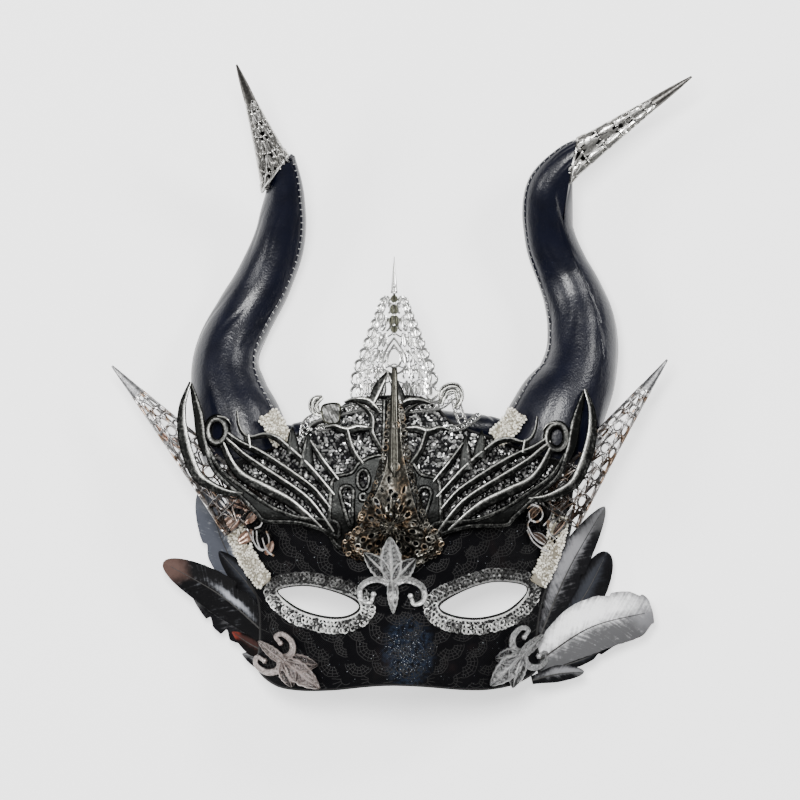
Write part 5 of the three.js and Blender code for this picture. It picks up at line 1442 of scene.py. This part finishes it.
def buildEyeTrim(side, braid, bead):
    piece = Piece()
    ground = onShell(0.4)
    inner = eyeLoop(side, eyeTrim["spacing"])
    out = outwardOf(inner)
    path = inner + out * (eyeTrim["out"] - eyeTrim["outTop"] * (1 - lowness(inner)))[:, None]
    out = outwardOf(path)
    low = lowness(path)
    half = eyeTrim["half"] * mixed(0.86, 1.0, low)
    across, rise = np.array([[-1, 0], [-1, 0.5], [-0.7, 0.9], [0, 1.05], [0.7, 0.9], [1, 0.5], [1, 0]]).T
    piece.addSwept(path, half[:, None] * across, rise, closed=True, ground=ground)
    # Rows of little rings leaning to and fro, bright below and darker above
    for reach, size, stretch, lift in eyeRows:
        line = path + out * (half * reach)[:, None]
        loops = ringsAlong(line, eyeTrim["step"], size, stretch, 0.75, 0.2, closed=True)
        tilt = lift + 0.3 * np.cos(roundTurns(ringSteps))
        heights = ground(loops[..., 0], loops[..., 1]) + tilt
        shine = mixed(0.3, 1, lowness(loops.mean(1))) * dice.uniform(-0.1, 1.1, len(loops))
        tone = np.repeat(np.clip(shine, 0, 1), ringSteps * 5)
        loops = np.concatenate([loops, heights[..., None]], -1)
        piece.addWires(loops, eyeTrim["strand"], 0, tone, closed=True, sides=5)
    # Two strands twisted round each other along the eye
    run = np.arange(len(path)) * eyeTrim["spacing"]
    full = run[-1] + eyeTrim["spacing"]
    for shift in (0, math.pi):
        turns = 2 * math.pi * round(full / 1.6) * run / full + shift
        line = path - out * (half + 0.1 + 0.3 * np.sin(turns))[:, None]
        line = onGround(line, ground, 0.75 + 0.3 * np.cos(turns))
        piece.addWires(line, eyeTrim["cord"], 0, np.repeat(0.35 + 0.45 * low, 6), closed=True)
    for reach, size, lift in ((1.05, 0.9, 0.6), (-0.1, 0.8, 1.6)):
        spots = evenly(path + out * (half * reach)[:, None], int(full / eyeTrim["beadStep"]), closed=True)
        spots = spots + dice.normal(0, 0.22, spots.shape)
        sizes = eyeTrim["bead"] * size * dice.uniform(0.6, 1.25, len(spots))
        centres = onGround(spots, ground, lift)
        shine = mixed(0.4, 1, lowness(spots)) * dice.uniform(0.1, 1.1, len(spots))
        piece.addStones(ball, centres, upright(len(spots)), sizes, 1, np.clip(shine, 0, 1))
    piece.build("loopedBraid" + side.title(), [braid, bead], "eye_trim_" + side, 70)


def makeBraid(name, dark, light, metallic):
    # Metal thread wound on a core: fine slanting lines, brighter where the tone is high
    braid = Finish(name, {"Metallic": metallic})
    lines = ((braid.axis("X") + braid.axis("Y") * 0.6 + braid.axis("Z")) * 9.0).sine()
    shine = (braid.tone() + 0.25 * (braid.noise(1.2) - 0.5)).between(0.0, 1.0)
    braid.feed("Base Color", braid.blend(dark, light, shine))
    braid.feed("Roughness", 0.32 + 0.2 * braid.noise(0.7))
    braid.bump(lines * 0.5 + braid.noise(0.4), 0.12)
    return braid


silverBraid = makeBraid("silverBraid", (0.012, 0.012, 0.012), (0.8, 0.8, 0.78), 0.7)
silverBead = makeBraid("silverPicot", (0.05, 0.05, 0.05), (0.95, 0.95, 0.93), 0.6)
for side in ("left", "right"):
    buildEyeTrim(side, silverBraid, silverBead)

# Temple and horn-foot trims: ivory braid crusted with sugar beads
crust = {"spacing": 1.05, "size": (0.48, 0.82), "templeHalf": 4.1, "footHalf": 4.5}
templeTrims = {"left": [[-77.6, 36], [-74.2, 26], [-68.4, 15.6], [-62.2, 7.6]],
               "right": [[79.6, 40], [76.8, 27], [72.4, 15], [68, 7.4]]}
hornFootTrims = {"left": ([[-61.4, 89.4], [-57, 83], [-53.6, 75]], 44.4),
                 "right": ([[59, 90], [54.4, 83], [48, 77.4]], 45.4)}


def buildCrust(name, stops, half, ground, height, node, keep, braid, bead):
    # A ribbon with a round back, its edges swelling a little, and beads strewn over all of it
    piece = Piece()
    path = smoothLine(stops, 0.7)
    t = np.linspace(0, 1, len(path))
    ends = np.clip(np.minimum(t, 1 - t) * 14 + 0.75, 0, 1)
    wide = half * (1 + 0.07 * np.sin(t * len(path) * 0.7 / 0.9)) * ends
    across, rise = np.array([[-1, 0], [-1, 0.55], [-0.75, 0.9], [0, 1], [0.75, 0.9], [1, 0.55], [1, 0]]).T
    piece.addSwept(path, wide[:, None] * across, height * rise, 0, 0.3, ground=ground)
    along = unit(np.gradient(path, axis=0))
    side = np.stack([along[:, 1], -along[:, 0]], 1)
    rim = np.vstack([path + side * wide[:, None], (path - side * wide[:, None])[::-1]])
    spots = scattered(rim, crust["spacing"], 0.4)
    spots = spots[keep(spots)]
    off = nearest(spots, path) / half
    roof = lambda x, y: ground(x, y) + height * 0.92
    sizes = dice.uniform(*crust["size"], len(spots))
    kinds = [(ball, (1, 1, 1)), (rod, (1.5, 0.6, 0.6)), (ball, (0.8, 1.1, 0.9))]
    strewn(piece, kinds, spots, roof, sizes, 0.1 - 0.5 * off ** 2, 1, 0.7, dice.uniform(0.1, 1, len(spots)))
    for edge in (1, -1):
        line = path + side * (edge * (wide + 0.2))[:, None]
        spots = evenly(line, int(lengthOf(line) / 1.5))
        spots = spots[keep(spots)]
        centres = onGround(spots, ground, height * 0.6)
        sizes = dice.uniform(0.7, 0.95, len(spots))
        piece.addStones(ball, centres, upright(len(spots)), sizes, 1, dice.uniform(0.5, 1, len(spots)))
    piece.build(name, [braid, bead], node, 70)


def makeSugar():
    sugar = Finish("ivoryBead", {"Metallic": 0.15, "Coat Roughness": 0.15})
    sugar.feed("Base Color", sugar.blend((0.16, 0.135, 0.085), (0.92, 0.89, 0.78), sugar.tone()))
    sugar.feed("Roughness", 0.3 + 0.25 * sugar.noise(1.0))
    sugar.bump(sugar.noise(0.5), 0.06)
    return sugar


ivoryBraid = makeBraid("ivoryBraid", (0.1, 0.085, 0.055), (0.5, 0.46, 0.36), 0.1)
ivoryBead = makeSugar()
for side in ("left", "right"):
    eye = eyeLoop(side, 1.0)
    clearOfEye = lambda spots: nearest(spots, eye) > 7.2
    overShell = lambda x, y: np.maximum(onShell(0.2)(x, y), 16.5)
    buildCrust("templeBraid" + side.title(), templeTrims[side], crust["templeHalf"], overShell, 2.6,
               "temple_trim_" + side, clearOfEye, ivoryBraid, ivoryBead)
    stops, level = hornFootTrims[side]
    overHorn = lambda x, y: np.full(np.shape(x), level)
    buildCrust("hornBraid" + side.title(), stops, crust["footHalf"], overHorn, 1.9,
               "horn_trim_" + side, lambda spots: np.full(len(spots), True), ivoryBraid, ivoryBead)

# Fleurs: silver-painted castings, three leaves over two volutes and a stem
fleurLeaves = [(4.1, [[-1, 3], [-6, 9.4], [-13.4, 17]]), (4.1, [[1, 3], [5.6, 8.4], [11.2, 14]]),
               (5.2, [[0, 1.5], [-0.4, 11], [-1, 24.5]])]
fleurVolutes = [(2.0, [[0, 1], [-5, 3.6], [-10.4, 3.4], [-15, 0], [-14.6, -5.4], [-10.4, -7], [-8.8, -3.2]]),
                (2.1, [[0, 1], [5, 3.6], [9.6, 3.2], [14.6, -0.2], [15, -6.2], [10.6, -8], [8.8, -4]])]
fleurStem = (2.6, [[0, 5], [0.4, -3], [0.6, -12.4]])
# Sections: a leaf with raised edges and a vein, and a volute with a groove
leafAcross = np.array([-1, -0.98, -0.88, -0.72, -0.5, -0.22, 0, 0.22, 0.5, 0.72, 0.88, 0.98, 1])
leafRise = np.array([0, 1.7, 2.4, 1.3, 0.8, 1.1, 2.1, 1.1, 0.8, 1.3, 2.4, 1.7, 0])
voluteAcross = np.array([-1, -0.95, -0.75, -0.5, 0, 0.5, 0.75, 0.95, 1])
voluteRise = np.array([0, 1.2, 1.9, 1.6, 1.25, 1.6, 1.9, 1.2, 0])


def onSkirt(x, y):  # up over the inner ends of the eye trims, and up the skirt of the front spike
    return onShell(0.4)(x, y) + 2.8 * smoothStep(5, 9, np.abs(x + 1.4)) + 17.5 * np.clip((y - 5) / 26, 0, 1)


fleurPlaces = {
    "brow_fleur": {"centre": [-1.4, 6.4], "turn": 0, "stretch": [1, 1], "ground": onSkirt},
    "cheek_fleur_left": {"centre": [-55.9, -27.3], "turn": -2.234, "stretch": [0.66, 1.01],
                         "ground": onShell(0.6)},
    "cheek_fleur_right": {"centre": [62.9, -24.8], "turn": 2.286, "stretch": [0.66, 0.957],
                          "ground": onShell(0.6)},
}


def buildFleur(node, paint):
    piece = Piece()
    at = fleurPlaces[node]

    def put(stops, spacing=0.5):
        x, y = (np.array(stops) * at["stretch"]).T
        return smoothLine(at["centre"] + turned(x, y, at["turn"]), spacing)

    def lumpy(rise):
        return lambda x, y: at["ground"](x, y) + rise + 0.16 * ripple(x * 3.1, y * 3.3)

    lobes = fleurLeaves + [fleurStem]
    for number, (wide, stops) in enumerate(lobes):
        path = put(stops)
        t = np.linspace(0, 1, len(path))
        half = 0.3 + wide * np.sin(math.pi * t ** 0.85) ** 0.8 * (1 + 0.05 * np.sin(t * 40 + number))
        rise = leafRise * np.clip(half / 1.6, 0.45, 1.15)[:, None]
        # The tone is painted light: painted highlight on the raised rims and vein, painted shade in the
        # hollows between
        tone = np.tile(np.clip((leafRise - 1.0) * 0.9, 0.45 if number > 1 else 0.12, 1), len(path))
        piece.addSwept(path, half[:, None] * leafAcross, rise, 0, tone, ground=lumpy(0.12 * number))
    for wide, stops in fleurVolutes:
        path = put(stops)
        t = np.linspace(0, 1, len(path))
        half = mixed(wide, 1.0, t) * np.clip(t * 6 + 0.5, 0, 1)
        rise = voluteRise * np.clip(half / 1.4, 0.5, 1.1)[:, None]
        piece.addSwept(path, half[:, None] * voluteAcross, rise, 0, 0.6, ground=lumpy(0.3))
        end = onGround(path[-1:], at["ground"], 1.6)
        piece.addStones(ball, end, upright(1), [[1.5, 1.5, 1.3]], 0, 1.0)
    name = "silver" + "".join(word.title() for word in node.split("_"))
    piece.build(name, [paint], node, 60)


def makePaint(name, dark, bright):
    # Silver paint with glitter: bright rims, dark hollows, and tiny flakes; the bright rims are painted
    # highlight and the dark hollows painted shade, from the tone, broken up by noise
    paint = Finish(name, {"Metallic": 0.85})
    flake = paint.cells(0.55, "F1", "Distance").between(0.34, 0.16)
    paintedLightAndWear = (paint.tone() + 1.5 * (paint.noise(1.3, 4) - 0.5)).between(0.05, 1.0)
    base = paint.blend(dark, bright, paintedLightAndWear)
    glitter = flake * paint.noise(1.4).between(0.42, 0.6) * 0.9
    paint.feed("Base Color", paint.blend(base, (0.95, 0.95, 0.95), glitter))
    paint.feed("Roughness", 0.3 + 0.2 * paint.noise(1.0) - 0.12 * flake)
    paint.bump(paint.noise(0.8, 4.0, 0.6) + 0.8 * flake, 0.4)
    return paint


paints = {"brow_fleur": makePaint("silverPaint", (0.02, 0.02, 0.021), (0.85, 0.85, 0.84)),
          "cheek_fleur_left": makePaint("rosePaint", (0.02, 0.017, 0.016), (0.42, 0.36, 0.34)),
          "cheek_fleur_right": makePaint("dullPaint", (0.02, 0.02, 0.02), (0.42, 0.42, 0.42))}
for node in fleurPlaces:
    buildFleur(node, paints[node])

# Feathers: root, tip, half width left and right of the shaft, level at the root and at the tip, sideways bow,
# look, how round the end is, and the notches as a place along, a side and a depth
feathers = {
    "left": [([-61.9, -5.8], [-92.2, 53.3], 9.6, 9.4, 13.5, 12, 4, "grey", 2.6, [(0.62, -1, 0.2)]),
             ([-59, -19.7], [-111.8, 17.8], 9.2, 9.8, 21.4, 16.5, -3, "rose", 2.0, [(0.45, 1, 0.25)]),
             ([-58.1, -22.6], [-98.4, 2.9], 7.6, 7.4, 17.5, 9.2, 2, "dark", 1.4,
              [(0.5, -1, 0.5), (0.7, -1, 0.4), (0.35, 1, 0.3)]),
             ([-57.1, -14.9], [-85, 23], 6.6, 6.6, 15.4, 14.2, -2, "black", 1.6, []),
             ([-57.1, -27.4], [-78.7, -15.8], 4.8, 4.8, 20.8, 15.2, 1, "red", 1.3, []),
             ([-57.1, -32.2], [-73.9, -26.4], 4.6, 4.4, 19.2, 14.4, 0, "dark", 1.3, [(0.7, 1, 0.5)])],
    "right": [([70.1, -17.3], [101.3, 44.6], 9.0, 8.2, 20.4, 8, 2, "dark", 1.6, [(0.5, 1, 0.2)]),
              ([68.6, -22.1], [102.7, 22.6], 8.4, 9.4, 18.8, 8, -4, "black", 2.2, []),
              ([68.6, -25.9], [97.4, 7.7], 7.2, 7.2, 17.2, 7, -2, "black", 2.0, [(0.6, 1, 0.3)]),
              ([67.7, -30.7], [124.3, -5.8], 13.4, 12.6, 22.4, 15.6, 5, "silver", 3.4,
               [(0.93, -1, 0.12), (0.97, 1, 0.2), (0.7, -1, 0.1)]),
              ([68.6, -35], [109.9, -19.7], 2.6, 2.8, 20.8, 13, -2, "black", 1.2,
               [(0.5, -1, 0.6), (0.7, 1, 0.6), (0.85, -1, 0.5)]),
              ([65.8, -38.9], [91.2, -35], 4.2, 4.0, 26.2, 18, 1, "dark", 1.8, [])],
}
# Each look: dark and light colours, how metallic, the place along and across and the width of its painted
# highlight, and the colour of its tip
featherLooks = {
    "grey": ((0.06, 0.065, 0.08), (0.85, 0.87, 0.9), 0.25, (0.34, 0.6, 0.22), (0.1, 0.105, 0.12)),
    "rose": ((0.0015, 0.0015, 0.002), (0.3, 0.31, 0.34), 0.1, (0.42, 0.25, 0.11), (0.1, 0.06, 0.05)),
    "black": ((0.0015, 0.0015, 0.002), (0.022, 0.024, 0.03), 0.1, (0.7, 0.1, 0.3), (0.003, 0.003, 0.004)),
    "dark": ((0.004, 0.004, 0.005), (0.2, 0.2, 0.21), 0.2, (0.7, 0.3, 0.34), (0.09, 0.09, 0.092)),
    "red": ((0.003, 0.002, 0.002), (0.035, 0.014, 0.012), 0.1, (0.7, 0.2, 0.3), (0.2, 0.035, 0.025)),
    "silver": ((0.09, 0.09, 0.093), (0.97, 0.97, 0.98), 0.3, (0.5, 0.5, 0.36), (0.2, 0.2, 0.21)),
}
featherShape = {"thick": 0.3, "camber": 1.3, "lean": 0.9, "barbStep": 0.42, "rib": 0.05,
                "ribStep": 1.9, "shaftShare": 0.94, "columns": 19, "spacing": 0.42}


def makeFeather(name, look, span):
    # Satin vane: fine lines along the barbs, streaks beside them, a painted highlight from the tone and a
    # tinted tip
    dark, light, metallic, _, tip = featherLooks[look]
    vane = Finish(name + "Vane", {"Metallic": metallic, "Specular IOR Level": 0.09})
    along = vane.place("X")
    barb = (along * (span * 2 * math.pi / featherShape["barbStep"])).sine()
    inputs = {"W": along * (span / 1.6), "Scale": 1.0, "Detail": 4.0}
    streak = vane.node("ShaderNodeTexNoise", {"noise_dimensions": "1D"}, inputs)
    cloud = vane.noise(4.0, 4.0, 0.6)
    uneven = 0.5 * (streak - 0.5) + 0.9 * (cloud - 0.5) + 0.3 * (vane.noise(1.1, 3.0, 0.6) - 0.5)
    paintedSheen = (vane.tone() + uneven).between(0.05, 0.95)
    tipShare = (along + 0.12 * (cloud - 0.5)).between(0.72, 0.88)
    body = vane.blend(dark, light, paintedSheen)
    vane.feed("Base Color", vane.blend(body, tip, tipShare * (0.85 - 0.6 * paintedSheen)))
    vane.feed("Roughness", 0.4 + 0.2 * cloud)
    vane.bump(0.3 * barb + 0.7 * streak, 0.1)
    return vane


quill = makeThread("quill", (0.006, 0.006, 0.006), (0.06, 0.058, 0.055))


def buildFeather(side, number, feather):
    # A thin curved vane: on each side of the shaft, its width grows from the root and ends in a rounded tip
    piece = Piece()
    shape = featherShape
    root, tip, wideLeft, wideRight, rootLevel, tipLevel, bow, look, blunt, notches = feather
    a, b = np.array(root, float), np.array(tip, float)
    span = np.linalg.norm(b - a)
    ahead = (b - a) / span
    left = np.array([-ahead[1], ahead[0]])
    spine = smoothLine([a, (a + b) / 2 + left * bow, b], shape["spacing"])
    t = np.linspace(0, 1, len(spine))
    close = (1 - np.clip((t - 0.45) / 0.55, 0, 1) ** blunt) ** (1 / blunt)
    grow = 0.5 + 0.5 * smoothStep(-0.05, 0.5, t)
    u = np.linspace(-1, 1, shape["columns"])
    widths = []
    for edge, wide in ((-1, wideLeft), (1, wideRight)):
        half = wide * grow * close * (1 - 0.025 * np.abs(ripple(t * 60, t * 33 + edge)))
        for at, notchSide, depth in notches:
            if notchSide == edge:
                notch = np.exp(-np.clip((t - at) / 0.012, 0, None) ** 2) * smoothStep(at - 0.09, at, t)
                half = half * (1 - depth * notch)
        widths.append(np.maximum(half, 0.12))
    half = np.where(u < 0, widths[0][:, None], widths[1][:, None])
    level = lambda x, y: mixed(rootLevel, tipLevel, ((np.stack([x, y], -1) - a) @ ahead) / span)
    curl = shape["camber"] * (0.35 - u ** 2) * half.max() / 12
    along = t[:, None] * span - shape["lean"] * np.abs(u) * half
    ribs = shape["rib"] * np.sin(2 * math.pi * along / shape["ribStep"])
    top = 0.75 + curl + ribs + 0.25 * ripple(t * 5 + number, t * 3)[:, None]
    across = np.concatenate([u * half, (u * half)[:, ::-1]], 1)
    rise = np.concatenate([top, (top - shape["thick"])[:, ::-1]], 1)
    points, faces, place = swept(spine, across, rise, ground=level)
    every = np.concatenate([u, u[::-1]])
    slanted = t[:, None] - shape["lean"] * np.abs(across) / span
    # The tone is a painted highlight: a soft spot round a place along and across the vane
    paintedSheenAlong, paintedSheenAcross, spread = featherLooks[look][3]
    paintedSheenAcross = -paintedSheenAcross if side == "right" else paintedSheenAcross
    away = ((t[:, None] - paintedSheenAlong) / (spread * 1.6)) ** 2 + ((every - paintedSheenAcross) / (spread * 1.5)) ** 2
    tone = np.concatenate([np.exp(-away).ravel(), [0, 0]])
    place[:-2] = np.stack([slanted, np.broadcast_to(every, slanted.shape)], -1).reshape(-1, 2)
    piece.add(points, faces, 0, place, tone)
    shaft = spine[: int(len(spine) * shape["shaftShare"])]
    over = lambda x, y: level(x, y) + 1.1 + 0.35 * shape["camber"] * half.max() / 12
    piece.addWires(shaft, np.linspace(0.5, 0.12, len(shaft)), 1, 0.5, ground=over)
    name = f"{look}Feather{side.title()}{number + 1}"
    slot = {"dark": "grey", "red": "rose"}.get(look, look) + "_feather"
    piece.build(name, [makeFeather(name, look, span), quill], f"feather_{side}_{number + 1}", 60)


for side in ("left", "right"):
    for number, feather in enumerate(feathers[side]):
        buildFeather(side, number, feather)


# Floor, light and camera: a pale studio seen from straight above
studio = {"floor": 2.4, "floorTone": 0.85, "floorGlow": 1.25, "worldLight": 0.22, "cameraHeight": 5.0,
          "widthSeen": 0.384, "aim": (-0.0009, -0.0106), "depthSeen": 0.04}

# Each lamp's place and size in metres, and its power in watts
studioLights = {"key": ((-0.18, 0.3, 2.1), 0.5, 70.0), "fill": ((1.1, 0.8, 1.3), 0.4, 18.0),
                "low": ((-1.1, 0.1, 1.0), 0.4, 10.0)}


def makeStudio():
    half = studio["floor"] / 2
    mesh = bpy.data.meshes.new("floor")
    corners = [(-half, -half, 0), (half, -half, 0), (half, half, 0), (-half, half, 0)]
    mesh.from_pydata(corners, [], [(0, 1, 2, 3)])
    floor = bpy.data.objects.new("floor", mesh)
    bpy.context.scene.collection.objects.link(floor)
    pale = Finish("paleFloor", {"Roughness": 0.9, "Specular IOR Level": 0.1})
    pale.feed("Base Color", (*(studio["floorTone"],) * 3, 1.0))
    pale.feed("Emission Color", (1, 1, 1, 1))
    pale.feed("Emission Strength", studio["floorGlow"])
    mesh.materials.append(pale.material)
    world = bpy.data.worlds.new("softRoom")
    world.use_nodes = True
    world.node_tree.nodes["Background"].inputs["Color"].default_value = (1, 1, 1, 1)
    world.node_tree.nodes["Background"].inputs["Strength"].default_value = studio["worldLight"]
    bpy.context.scene.world = world
    for name, (spot, size, power) in studioLights.items():
        lamp = bpy.data.lights.new(name, "AREA")
        lamp.size = size
        lamp.energy = power
        shown = bpy.data.objects.new(name, lamp)
        shown.location = spot
        shown.rotation_euler = (Vector((0, 0, 0.03)) - Vector(spot)).to_track_quat("-Z", "Y").to_euler()
        bpy.context.scene.collection.objects.link(shown)
    camera = bpy.data.cameras.new("camera")
    camera.sensor_width = 36
    camera.lens = 36 * (studio["cameraHeight"] - studio["depthSeen"]) / studio["widthSeen"]
    camera.clip_end = 50
    eye = bpy.data.objects.new("camera", camera)
    eye.location = (*studio["aim"], studio["cameraHeight"])
    bpy.context.scene.collection.objects.link(eye)
    bpy.context.scene.camera = eye


makeStudio()
print("studio made")
